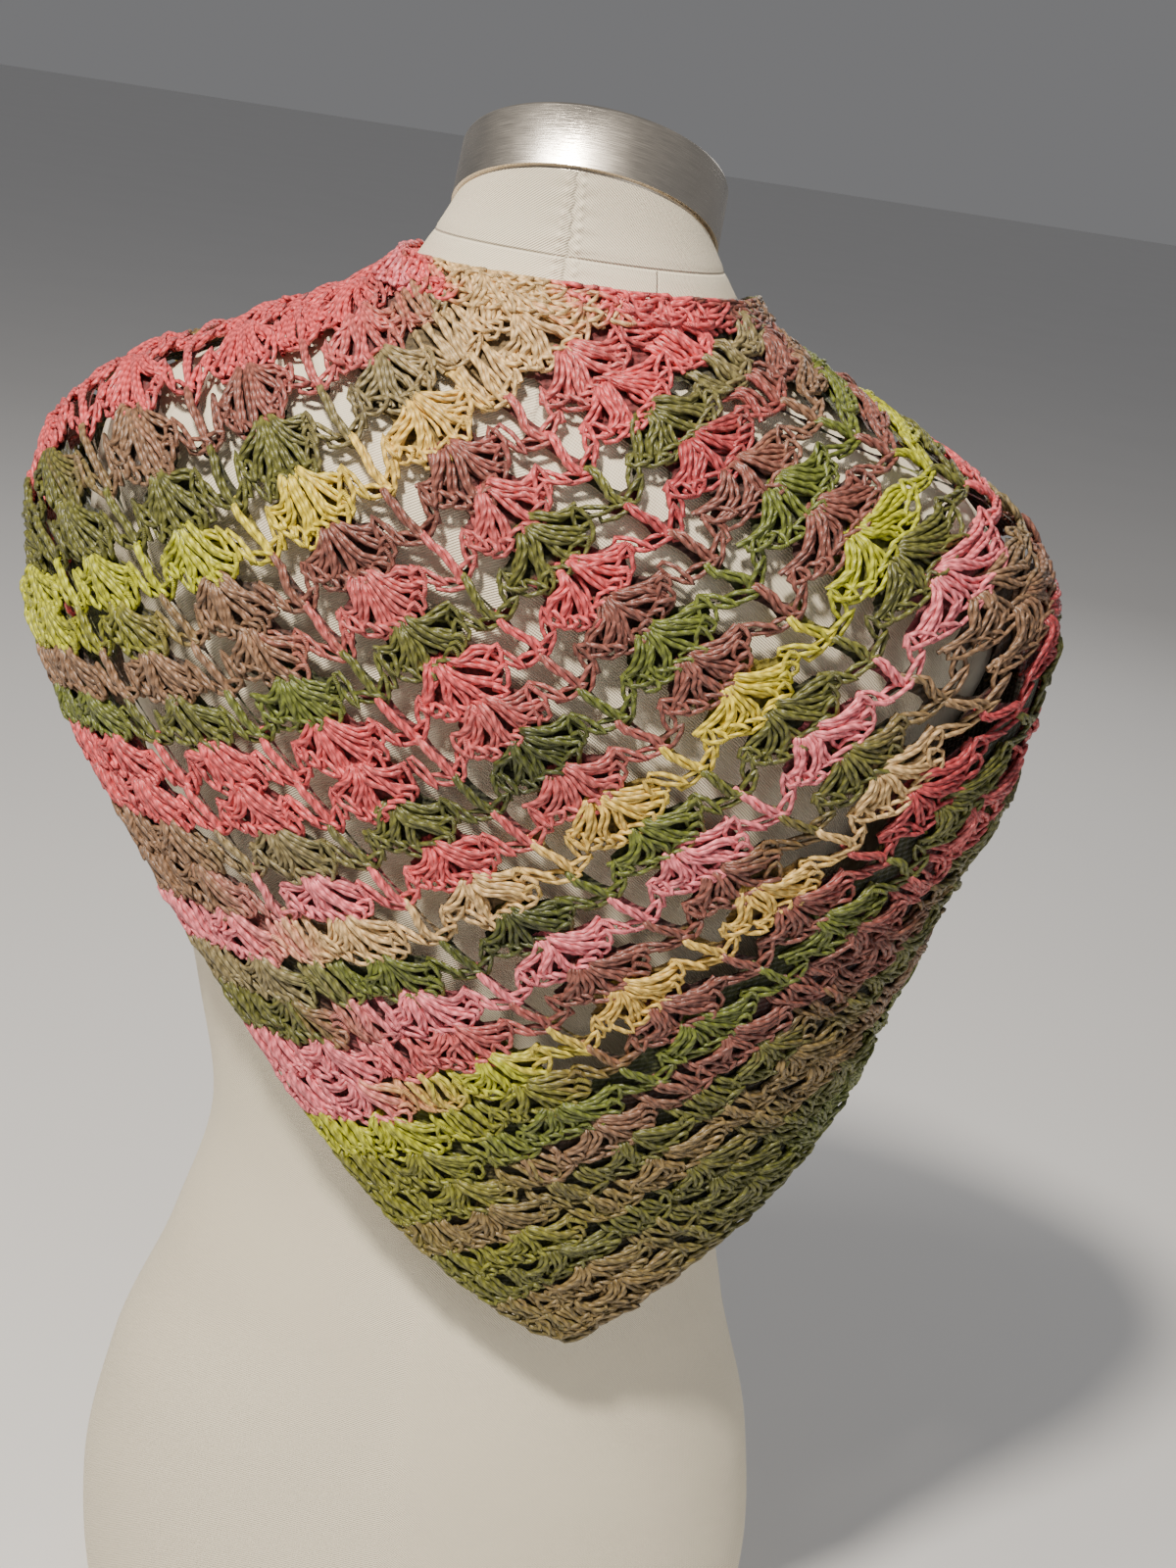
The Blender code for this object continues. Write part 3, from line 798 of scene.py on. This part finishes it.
@dataclass
class Stitches:
    """Works the lace, row by row, as strands of yarn in the flat.

    Distances are in metres. A shell is a fan of stitches that share one apex. A post is the
    single stitch between two shells, and chains run along the foot of each row.
    """

    drape: Drape
    chart: DyeChart
    shell_feet: tuple = (
        (-0.0190, 0.0080),
        (-0.0160, 0.0130),
        (-0.0112, 0.0170),
        (-0.0054, 0.0192),
        (0.0054, 0.0192),
        (0.0112, 0.0170),
        (0.0160, 0.0130),
        (0.0190, 0.0080),
    )
    under_feet: tuple = ((-0.0130, 0.0092), (-0.0040, 0.0150), (0.0040, 0.0150), (0.0130, 0.0092))
    strand_points: int = 7
    loop_points: int = 7
    pair_gap: float = 0.00125
    wander: float = 0.0011
    seed: int = 7

    def __post_init__(self) -> None:
        """Start the fixed run of small irregularities."""
        self.chance = np.random.default_rng(self.seed)
        self.work = {}

    def bundle(self, name: str) -> YarnWork:
        """Return the piece of that name, started if it is new."""
        if name not in self.work:
            self.work[name] = YarnWork(name)
        return self.work[name]

    def stray(self, size: float) -> float:
        """Return a small irregularity of either sign."""
        return float(self.chance.normal(0.0, size))

    def twisted(self, work: YarnWork, row: int, start: tuple, end: tuple, **how: float) -> None:
        """Work one tall stitch as strands that twist round each other.

        Args:
            work: The piece that takes the strands.
            row: The row, which sets the shade.
            start: Where it starts: metres from the left leg and from the right leg.
            end: Where it ends.
            **how: lift at its crown, strands, turns, bow to one side, hook at its foot.
        """
        lift = how.get("lift", 0.0026)
        strands = int(how.get("strands", 3))
        turns = how.get("turns", 0.45)
        t = np.linspace(0.0, 1.0, self.strand_points)
        start, end = np.array(start), np.array(end)
        line = end - start
        length = max(float(np.linalg.norm(line)), 1e-6)
        side = np.array([-line[1], line[0]]) / length
        bow = how.get("bow", 0.0) + self.stray(self.wander * 0.8)
        sway = self.stray(self.wander * 0.9)
        hook = how.get("hook", 0.0) * smooth_step(0.70, 1.0, t)
        aside = bow * np.sin(math.pi * t) + sway * np.sin(2 * math.pi * t) + hook
        middle = start + line * t[:, None] + side * aside[:, None]
        crown = np.interp(t, (0.0, 0.13, 0.35, 0.75, 1.0), (-0.4, 0.85, 1.0, 0.75, 0.25)) * lift
        spread = self.pair_gap * (0.45 + 0.55 * smooth_step(0.0, 0.45, t))
        phase = self.chance.uniform(0, 2 * math.pi)
        for strand in range(strands):
            angle = phase + 2 * math.pi * (strand / strands + turns * t)
            flat = middle + side * (spread * np.cos(angle))[:, None]
            rise = crown + spread * 0.7 * np.sin(angle)
            path = np.column_stack([flat, rise])
            self.lay_strand(work, row, path)

    def lay_strand(self, work: YarnWork, row: int, path: np.ndarray, closed: bool = False) -> None:
        """Add one strand in its row's shade, with a little unevenness in the dye."""
        colours = self.chart.colour(row, path[:, 0] + self.stray(0.004))
        work.add(path, colours * (1.0 + self.stray(0.10)), closed)

    def chain(self, work: YarnWork, row: int, start: tuple, end: tuple, **how: float) -> None:
        """Work a chain of interlocked loops from one flat point to another.

        Args:
            work: The piece that takes the loops.
            row: The row, which sets the shade.
            start: Where it starts: metres from the left leg and from the right leg.
            end: Where it ends.
            **how: lift, width and pitch of the loops.
        """
        pitch = how.get("pitch", 0.0052)
        width = how.get("width", 0.0025)
        lift = how.get("lift", 0.0016)
        start, end = np.array(start), np.array(end)
        line = end - start
        length = float(np.linalg.norm(line))
        count = max(1, round(length / pitch))
        ahead = line / max(length, 1e-6)
        side = np.array([-ahead[1], ahead[0]])
        turn = np.linspace(0, 2 * math.pi, self.loop_points, endpoint=False)
        straight_ahead, straight_side = ahead, side
        for i in range(count):
            lean = self.stray(how.get("lean", 0.30))
            ahead = straight_ahead * math.cos(lean) + straight_side * math.sin(lean)
            side = np.array([-ahead[1], ahead[0]])
            centre = start + line * ((i + 0.5) / count) + side * self.stray(0.0004)
            half = length / count * 0.80
            pinch = 1.0 - 0.45 * np.cos(turn)
            flat = centre + ahead * (half * np.cos(turn))[:, None]
            flat = flat + side * (width * np.sin(turn) * pinch)[:, None]
            rise = lift + 0.0011 * np.cos(turn) + self.stray(0.0005) * np.sin(turn)
            self.lay_strand(work, row, np.column_stack([flat, rise]), closed=True)

    def piece_name(self, from_left_leg: float, from_right_leg: float) -> str:
        """Return the name of the piece that holds stitches at a flat point."""
        across = (from_left_leg - from_right_leg) / math.sqrt(2)
        if from_right_leg > 26 * ROW_PITCH - 0.001:
            return "left_wing_stitches"
        if from_left_leg > FIRST_SHELL - 0.0175 + 7 * REPEAT:
            return "right_wing_stitches"
        if from_right_leg < 0.150:
            return "point_stitches"
        if across < -0.09:
            return "left_shoulder_stitches"
        if across < 0.045:
            return "middle_back_stitches"
        return "right_shoulder_stitches"

    def inside(self, from_left_leg: float, from_right_leg: float, margin: float) -> bool:
        """Say whether a flat point is on the shawl, at least a margin below the neck edge."""
        depth = SHAWL_DEPTH - (from_left_leg + from_right_leg) / math.sqrt(2)
        return depth > margin and from_left_leg > -0.001 and from_right_leg > -0.004

    def shell(self, row: int, column: float, apex: float) -> None:
        """Work one shell: a fan of tall stitches from its apex, with a chain along its foot."""
        work = self.bundle(self.piece_name(column, apex))
        order = self.chance.permutation(len(self.shell_feet))
        feet = []
        for i, (aside, down) in enumerate(self.shell_feet):
            foot = (
                column + aside + self.stray(self.wander),
                max(apex - down + self.stray(self.wander), 0.0005),
            )
            feet.append(foot)
            top = (column + aside * 0.10 + self.stray(0.0003), apex + 0.0014 + self.stray(0.0004))
            if foot[0] < 0.002 or not self.inside(*foot, 0.0005):
                continue
            lift = 0.0027 + 0.00026 * order[i]
            bend = -aside * 0.13
            self.twisted(work, row, top, foot, lift=lift, bow=bend, hook=self.stray(0.0015))
        for aside, down in self.under_feet:
            foot = (column + aside + self.stray(self.wander), max(apex - down, 0.0005))
            if foot[0] > 0.002 and self.inside(*foot, 0.0005):
                self.twisted(work, row, (column, apex), foot, strands=1, lift=0.0008)
        for left, right in zip(feet, feet[1:]):
            if self.inside(*left, 0.0) and self.inside(*right, 0.0) and left[0] > 0.002:
                self.chain(work, row, left, right, lift=0.0024)

    def post(self, row: int, column: float, apex: float) -> None:
        """Work the single stitch between two shells and the chains on both sides of it."""
        foot_line = max(apex - 0.0187, 0.0005)
        place = column + POST_PLACE
        work = self.bundle(self.piece_name(place, apex))
        if self.inside(place, apex, -0.004) and self.inside(place, foot_line, 0.001):
            top = (place + self.stray(0.0006), apex + 0.0022)
            foot = (place + self.stray(0.0006), foot_line)
            self.twisted(work, row, top, foot, strands=3, turns=0.9, lift=0.0036)
        first = (column + 0.0190, max(apex - 0.0080, 0.0005))
        elbow = (column + 0.0232, max(apex - 0.0155, 0.0005))
        last = (column + REPEAT - 0.0190, first[1])
        second_elbow = (column + REPEAT - 0.0232, elbow[1])
        stops = (first, elbow, (place, foot_line), second_elbow, last)
        for start, end in zip(stops, stops[1:]):
            if self.inside(*start, 0.0) and self.inside(*end, 0.0) and start[0] > 0:
                self.chain(work, row, start, end, pitch=0.0068, width=0.0018, lean=0.18)
        depth = SHAWL_DEPTH - (place + apex) / math.sqrt(2)
        if (place < 0.100 and row > 7) or depth < 0.046 or (apex < 0.115 and place < 0.45):
            self.fill(work, row, column, apex)

    def fill(self, work: YarnWork, row: int, column: float, apex: float) -> None:
        """Work the tall stitches that close the lace near the left leg, towards the point."""
        for aside in (0.0205, 0.0245, 0.0275, 0.0350, 0.0385, 0.0425):
            place = column + aside + self.stray(self.wander)
            top = (place, apex + 0.0006)
            foot = (place + self.stray(0.0015), max(apex - 0.0172, 0.0005))
            if place > 0.020 and self.inside(*top, 0.0) and self.inside(*foot, 0.001):
                self.twisted(work, row, top, foot, strands=2, lift=0.0022, hook=self.stray(0.0012))

    def border(self, row: int, apex: float) -> None:
        """Work the dense stitches along the left leg."""
        work = self.bundle("leg_border_stitches")
        for aside in np.arange(0.0030, 0.0215, 0.0046):
            top = (aside + self.stray(0.0005), apex + 0.0008)
            foot = (aside + self.stray(0.0005), max(apex - 0.0180, 0.0005))
            if self.inside(*top, 0.002):
                self.twisted(work, row, top, foot, strands=2, lift=0.0024)
        if self.inside(0.022, apex, 0.002):
            foot = max(apex - 0.0172, 0.001)
            self.chain(work, row, (0.0012, foot), (0.0240, foot), pitch=0.0050)
            self.chain(work, row, (0.0010, apex), (0.0012, foot), pitch=0.0060)

    def neck_band(self) -> None:
        """Work the dense band along the neck edge: slanting stitches between uneven chains."""
        work = self.bundle("neck_band_stitches")
        step = 0.0056
        for across in np.arange(-0.520, 0.5201, step):
            reach = min(0.0150, SHAWL_DEPTH - abs(across) - 0.002)
            if reach < 0.006:
                continue
            row = BAND_ROW
            edge = self.flat_place(across, 0.0012)
            for lean in (-0.0045, 0.0040):
                aside = across + lean + self.stray(0.0014)
                foot = self.flat_place(aside, reach + self.stray(0.0014))
                lift = 0.0022 + abs(self.stray(0.0007))
                self.twisted(work, row, edge, foot, lift=lift, bow=self.stray(0.0020), strands=2)
            for part in (0.0, 0.42, 0.85):
                depth = max(reach * part + self.stray(0.0008), 0.0012)
                start = self.flat_place(across - 0.0006, depth)
                following = self.flat_place(across + step + 0.0006, depth)
                self.chain(work, row, start, following, pitch=0.0070, lift=0.0034, lean=0.6)

    def flat_place(self, across: float, depth: float) -> tuple:
        """Return metres from the left and right legs at a place across and below the neck edge."""
        total = (SHAWL_DEPTH - depth) * math.sqrt(2)
        shift = across * math.sqrt(2)
        return ((total + shift) / 2, (total - shift) / 2)

    def edging(self) -> None:
        """Work the chain edging along the right leg and round the point."""
        work = self.bundle("chain_edging")
        work.radius = 0.00115
        for start in np.arange(0.001, LEG - 0.014, 0.0068):
            low, high = (start, -0.0012), (start + 0.0068, -0.0012)
            self.chain(work, LAST_ROW, low, high, pitch=0.0068, width=0.0024, lift=0.0010)
            self.chain(work, LAST_ROW, low, high, pitch=0.0068, width=0.0016, lift=-0.0006)

    def work_all(self) -> list:
        """Work every row and return the finished pieces."""
        for row in range(FIRST_ROW, LAST_ROW + 1):
            apex = NAPE_ROW - row * ROW_PITCH
            self.border(row, apex)
            column = FIRST_SHELL - REPEAT
            while column < LEG:
                if column > 0 and self.inside(column, apex - 0.012, 0.004):
                    self.shell(row, column, apex)
                self.post(row, column, apex)
                column += REPEAT
        self.neck_band()
        self.edging()
        pieces = []
        for work in self.work.values():
            LOG.info("%s: %d triangles", work.name, work.triangles())
            pieces.append(work.build(self.drape))
        return pieces


@dataclass
class LaceGround:
    """The thin cut cloth under the yarns, which stands for the shawl as a sheet and is painted dark
    as the shade between them.
    """

    drape: Drape
    chart: DyeChart
    cell: float = 0.0030
    lift: float = -0.0008
    margin: float = 0.0025
    closed_hem: float = 0.130
    post_margin: float = 0.0021
    fan_slope: float = 0.42
    chain_asides: tuple = (0.0, 0.0054, 0.0112, 0.0160, 0.0190, 0.0232, 0.0310)
    chain_downs: tuple = (0.0192, 0.0192, 0.0170, 0.0130, 0.0080, 0.0155, 0.0187)

    def is_open(self, from_left_leg: np.ndarray, from_right_leg: np.ndarray) -> np.ndarray:
        """Say which flat points lie in a gap of the lace.

        Args:
            from_left_leg: Metres from the left leg.
            from_right_leg: Metres from the right leg.

        Returns:
            True between the chain of one row and the uppermost stitches of the next.
        """
        across = (from_left_leg - from_right_leg) / math.sqrt(2)
        depth = SHAWL_DEPTH - (from_left_leg + from_right_leg) / math.sqrt(2)
        place = (from_left_leg - FIRST_SHELL + REPEAT / 2) % REPEAT - REPEAT / 2
        down = (NAPE_ROW - from_right_leg) % ROW_PITCH
        aside = np.abs(place)
        chain = np.interp(aside, self.chain_asides, self.chain_downs)
        crown = np.where(aside < self.chain_asides[4], self.fan_slope * aside, chain)
        below_own = (down > chain + self.margin) & (down < ROW_PITCH + crown - self.margin)
        above_own = (down > chain - ROW_PITCH + self.margin) & (down < crown - self.margin)
        beside = aside < POST_PLACE - self.post_margin
        kept = (depth > 0.040) & (from_left_leg > 0.024) & (from_right_leg > self.closed_hem)
        open_part = (from_left_leg > 0.085) | ((down >= 0) & (from_right_leg > 0.235))
        return (below_own | above_own) & beside & kept & open_part & (np.abs(across) < 0.42)

    def build(self) -> bpy.types.Object:
        """Return the cut cloth as one open sheet."""
        mesh = bmesh.new()
        steps = round(LEG / self.cell)
        bmesh.ops.create_grid(mesh, x_segments=steps, y_segments=steps, size=LEG / 2)
        bmesh.ops.translate(mesh, verts=mesh.verts[:], vec=(LEG / 2, LEG / 2, 0.0))
        half = LEG / 2 - 0.0015
        bmesh.ops.bisect_plane(
            mesh,
            geom=mesh.verts[:] + mesh.edges[:] + mesh.faces[:],
            dist=0.00002,
            plane_co=(half, half, 0.0),
            plane_no=(1.0, 1.0, 0.0),
            clear_outer=True,
        )
        middles = np.array([face.calc_center_median()[:2] for face in mesh.faces])
        open_cells = self.is_open(middles[:, 0], middles[:, 1])
        faces = [face for face, is_gap in zip(mesh.faces, open_cells) if is_gap]
        bmesh.ops.delete(mesh, geom=faces, context="FACES")
        rims = [v for v in mesh.verts if v.is_boundary and self.is_inner(v.co)]
        for _ in range(3):
            bmesh.ops.smooth_vert(
                mesh, verts=rims, factor=0.5, use_axis_x=True, use_axis_y=True
            )
        data = bpy.data.meshes.new("lace_ground_painted_shade")
        mesh.to_mesh(data)
        mesh.free()
        flat = np.empty(len(data.vertices) * 3, dtype=np.float32)
        data.vertices.foreach_get("co", flat)
        flat = flat.reshape(-1, 3).astype(float)
        flat[:, 2] = self.lift
        data.vertices.foreach_set("co", self.drape.lay(flat).ravel())
        write_attribute(data, "dye", self.chart.ground(flat[:, 0], flat[:, 1]))
        write_attribute(data, "flat", flat)
        data.shade_smooth()
        data.update()
        return link_piece("lace_ground_painted_shade", data)

    def is_inner(self, place: Vector) -> bool:
        """Say whether a rim point belongs to a gap and not to the shawl's own edge."""
        depth = SHAWL_DEPTH - (place.x + place.y) / math.sqrt(2)
        return place.x > 0.010 and place.y > 0.010 and depth > 0.010


@dataclass
class DressForm:
    """The limbless form: its covered torso and neck, with the seams of the cover."""

    neck_join: float = 0.694
    cap_radius: float = 0.0555
    cap_height: float = 0.027
    slant: float = math.radians(28)
    cap_top: tuple = (0.0, -0.004, 0.747)
    inset: float = 0.0012
    steps_around: int = 150
    steps_up: int = 124
    neck_steps: int = 22

    def cap_frame(self) -> tuple:
        """Return the cap's top centre, its normal and its level directions."""
        normal = np.array([0.0, -math.sin(self.slant), math.cos(self.slant)])
        backwards = np.array([0.0, math.cos(self.slant), math.sin(self.slant)])
        return np.array(self.cap_top), normal, np.array([-1.0, 0.0, 0.0]), backwards

    def neck_ring(self, azimuth: np.ndarray, part: np.ndarray) -> np.ndarray:
        """Return points of the neck, from the shoulders at 0 to the cap at 1."""
        body = Body(FORM_SECTIONS)
        base = body.point(azimuth, np.full(len(azimuth), self.neck_join))
        centre, normal, sideways, backwards = self.cap_frame()
        radius = self.cap_radius - self.inset
        around = np.outer(np.sin(azimuth), sideways) + np.outer(np.cos(azimuth), backwards)
        top = centre - normal * (self.cap_height + 0.0003) + radius * around
        base_middle = np.array([0.0, 0.0011, self.neck_join])
        top_middle = centre - normal * (self.cap_height + 0.0003)
        part = part[:, None]
        ring = base * (1 - part) + top * part
        middle = base_middle * (1 - part) + top_middle * part
        hollow = 1.0 - 0.10 * np.sin(math.pi * part)
        return middle + (ring - middle) * np.hstack([np.ones_like(part), hollow, np.ones_like(part)])

    def build_torso(self) -> bpy.types.Object:
        """Return the covered torso and neck, smooth and closed."""
        mesh = bmesh.new()
        rows = self.steps_up + self.neck_steps
        bmesh.ops.create_grid(mesh, x_segments=self.steps_around, y_segments=rows, size=0.5)
        data = bpy.data.meshes.new("form_cover")
        mesh.verts.ensure_lookup_table()
        grid = np.array([v.co[:] for v in mesh.verts]) + 0.5
        azimuth = (grid[:, 0] * 2 - 1) * math.pi
        level = grid[:, 1] * rows
        on_body = level <= self.steps_up
        heights = np.minimum(level / self.steps_up, 1.0) * self.neck_join
        places = Body(FORM_SECTIONS).point(azimuth, heights)
        part = np.clip((level - self.steps_up) / self.neck_steps, 0.0, 1.0)
        neck = self.neck_ring(azimuth, part)
        places[~on_body] = neck[~on_body]
        places += self.seam_relief(azimuth, places)
        for vertex, place in zip(mesh.verts, places):
            vertex.co = place
        around = azimuth * np.interp(places[:, 2], (0.0, 0.6, 0.70, 0.75), (0.14, 0.15, 0.065, 0.056))
        cover = np.column_stack([around, places[:, 2], np.abs(around)])
        mesh.to_mesh(data)
        write_attribute(data, "cover", cover)
        mesh.clear()
        mesh.from_mesh(data)
        bmesh.ops.remove_doubles(mesh, verts=mesh.verts[:], dist=0.00005)
        rims = [edge for edge in mesh.edges if edge.is_boundary]
        bmesh.ops.holes_fill(mesh, edges=rims, sides=0)
        bmesh.ops.recalc_face_normals(mesh, faces=mesh.faces[:])
        mesh.to_mesh(data)
        mesh.free()
        data.shade_smooth()
        data.set_sharp_from_angle(angle=math.radians(50))
        return link_piece("form_cover", data)

    def seam_relief(self, azimuth: np.ndarray, places: np.ndarray) -> np.ndarray:
        """Return how far the seams of the cover draw its surface in or push it out."""
        outward = places * (1.0, 1.0, 0.0)
        outward /= np.maximum(np.linalg.norm(outward, axis=1, keepdims=True), 1e-6)
        girth = np.interp(places[:, 2], (0.0, 0.6, 0.70, 0.75), (0.14, 0.15, 0.065, 0.056))
        aside = azimuth * girth
        height = places[:, 2]
        on_neck = smooth_step(0.640, 0.665, height)
        groove = -0.0009 * np.exp(-((aside / 0.0016) ** 2))
        pucker = np.sin(height * 2 * math.pi / 0.0075 + np.sign(aside) * 1.2)
        puckers = 0.0006 * pucker * np.exp(-((np.abs(aside) - 0.004) / 0.004) ** 2)
        relief = (groove + puckers) * on_neck
        relief += -0.0006 * np.exp(-((height - 0.7160) / 0.0014) ** 2) * (np.abs(azimuth) < 2.9)
        return outward * relief[:, None]

    def build_cap(self) -> bpy.types.Object:
        """Return the slanted metal cap, turned from its profile."""
        lip = 0.0014
        profile = (
            (0.0, -self.cap_height),
            (self.cap_radius - 0.0022, -self.cap_height),
            (self.cap_radius - 0.0022, -self.cap_height + 0.0010),
            (self.cap_radius, -self.cap_height + 0.0012),
            (self.cap_radius, -lip),
            (self.cap_radius - lip * 0.3, -lip * 0.3),
            (self.cap_radius - lip, 0.0),
            (self.cap_radius - 0.005, -0.0004),
            (0.0, -0.0004),
        )
        mesh = bmesh.new()
        verts = [mesh.verts.new((radius, 0.0, height)) for radius, height in profile]
        edges = [mesh.edges.new(pair) for pair in zip(verts, verts[1:])]
        bmesh.ops.spin(
            mesh,
            geom=verts + edges,
            cent=(0.0, 0.0, 0.0),
            axis=(0.0, 0.0, 1.0),
            angle=2 * math.pi,
            steps=128,
            use_merge=True,
        )
        bmesh.ops.remove_doubles(mesh, verts=mesh.verts[:], dist=0.00005)
        bmesh.ops.recalc_face_normals(mesh, faces=mesh.faces[:])
        flat = np.array([v.co[:] for v in mesh.verts])
        angle = np.arctan2(flat[:, 1], flat[:, 0])
        radius = np.hypot(flat[:, 0], flat[:, 1])
        brushed = np.column_stack([np.cos(angle), radius + flat[:, 2], np.sin(angle)])
        centre, normal, sideways, backwards = self.cap_frame()
        turn = Matrix([[*sideways], [*backwards], [*normal]]).transposed().to_4x4()
        bmesh.ops.transform(mesh, matrix=Matrix.Translation(centre) @ turn, verts=mesh.verts[:])
        bmesh.ops.recalc_face_normals(mesh, faces=mesh.faces[:])
        data = bpy.data.meshes.new("neck_cap_band")
        mesh.to_mesh(data)
        mesh.free()
        write_attribute(data, "brushed", brushed)
        data.shade_smooth()
        data.set_sharp_from_angle(angle=math.radians(35))
        return link_piece("neck_cap_band", data)


@dataclass(frozen=True)
class Studio:
    """The camera at the photograph's angle, the lights and the floor."""

    target: tuple = (-0.035, 0.0, 0.483)
    azimuth: float = math.radians(184.2)
    elevation: float = math.radians(20.0)
    roll: float = math.radians(8.617)
    distance: float = 0.879
    focal_pixels: float = 1970.0

    def place_camera(self) -> None:
        """Make the camera, tilted as the photograph is."""
        sine, cosine = math.sin(self.azimuth), math.cos(self.azimuth)
        level, rise = math.cos(self.elevation), math.sin(self.elevation)
        back = Vector((sine * level, -cosine * level, rise))
        right = (-back).cross(Vector((0.0, 0.0, 1.0))).normalized()
        up = right.cross(-back)
        turned_right = right * math.cos(self.roll) + up * math.sin(self.roll)
        turned_up = up * math.cos(self.roll) - right * math.sin(self.roll)
        data = bpy.data.cameras.new("photo_camera")
        data.sensor_fit = "VERTICAL"
        data.sensor_height = 24.0
        data.lens = 24.0 * self.focal_pixels / 1600
        camera = bpy.data.objects.new("photo_camera", data)
        axes = Matrix([turned_right, turned_up, back]).transposed().to_4x4()
        place = Vector(self.target) + back * self.distance
        camera.matrix_world = Matrix.Translation(place) @ axes
        bpy.context.scene.collection.objects.link(camera)
        bpy.context.scene.camera = camera

    def place_lamp(self, name: str, place: tuple, size: float, power: float, warmth: tuple) -> None:
        """Make one soft lamp that faces the middle of the form."""
        data = bpy.data.lights.new(name, "AREA")
        data.shape = "DISK"
        data.size = size
        data.energy = power
        data.color = warmth
        lamp = bpy.data.objects.new(name, data)
        lamp.location = place
        aim = Vector((0.0, 0.0, 0.5)) - Vector(place)
        lamp.rotation_euler = aim.to_track_quat("-Z", "Y").to_euler()
        bpy.context.scene.collection.objects.link(lamp)

    def place_lights(self) -> None:
        """Make a warm key from the upper left, a soft fill and a pale surround."""
        self.place_lamp("key_lamp", (0.42, 1.02, 2.05), 0.20, 60.0, (1.0, 0.92, 0.81))
        self.place_lamp("panel_lamp", (1.05, 1.02, 2.30), 0.32, 12.0, (1.0, 0.96, 0.90))
        self.place_lamp("fill_lamp", (-1.6, 1.8, 1.2), 1.6, 8.0, (0.92, 0.95, 1.0))
        self.place_lamp("front_lamp", (-0.4, -2.0, 1.6), 1.4, 9.0, (1.0, 0.98, 0.95))
        world = bpy.data.worlds.new("pale_surround")
        world.use_nodes = True
        world.node_tree.nodes["Background"].inputs[0].default_value = (0.80, 0.80, 0.82, 1.0)
        world.node_tree.nodes["Background"].inputs[1].default_value = 0.23
        bpy.context.scene.world = world

    def lay_floor(self) -> None:
        """Make the plain pale floor."""
        mesh = bmesh.new()
        bmesh.ops.create_grid(mesh, x_segments=8, y_segments=8, size=20.0)
        data = bpy.data.meshes.new("floor")
        mesh.to_mesh(data)
        mesh.free()
        floor = link_piece("floor", data)
        data.materials.append(FloorFinish().make())


def dress(piece: bpy.types.Object, material: bpy.types.Material) -> None:
    """Give a piece its material and the body that it rides on, and log its polygons."""
    piece.data.materials.clear()
    piece.data.materials.append(material)
    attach(piece, "root")
    LOG.info("%s: %d polygons", piece.name, len(piece.data.polygons))


def main() -> None:
    """Build the shawl and the form in order, and hand them to the frame."""
    logging.basicConfig(level=logging.INFO, format="%(name)s: %(message)s")
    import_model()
    studio = Studio()
    studio.place_camera()
    studio.place_lights()
    studio.lay_floor()

    drape = Drape()
    chart = DyeChart()
    ground = LaceGround(drape, chart).build()
    dress(ground, GroundPaintedShadeFinish().make())
    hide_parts(*SHAWL_NODES)
    yarn = YarnFinish().make()
    stitches = Stitches(drape, chart).work_all()
    for piece in stitches:
        dress(piece, yarn)
        if piece.name == "chain_edging":
            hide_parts("shawl_edging")

    form = DressForm()
    cover = form.build_torso()
    dress(cover, JerseyFinish().make())
    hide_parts("form_torso")
    cap = form.build_cap()
    dress(cap, SteelFinish().make())
    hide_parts("neck_cap")


if __name__ == "__main__":
    main()
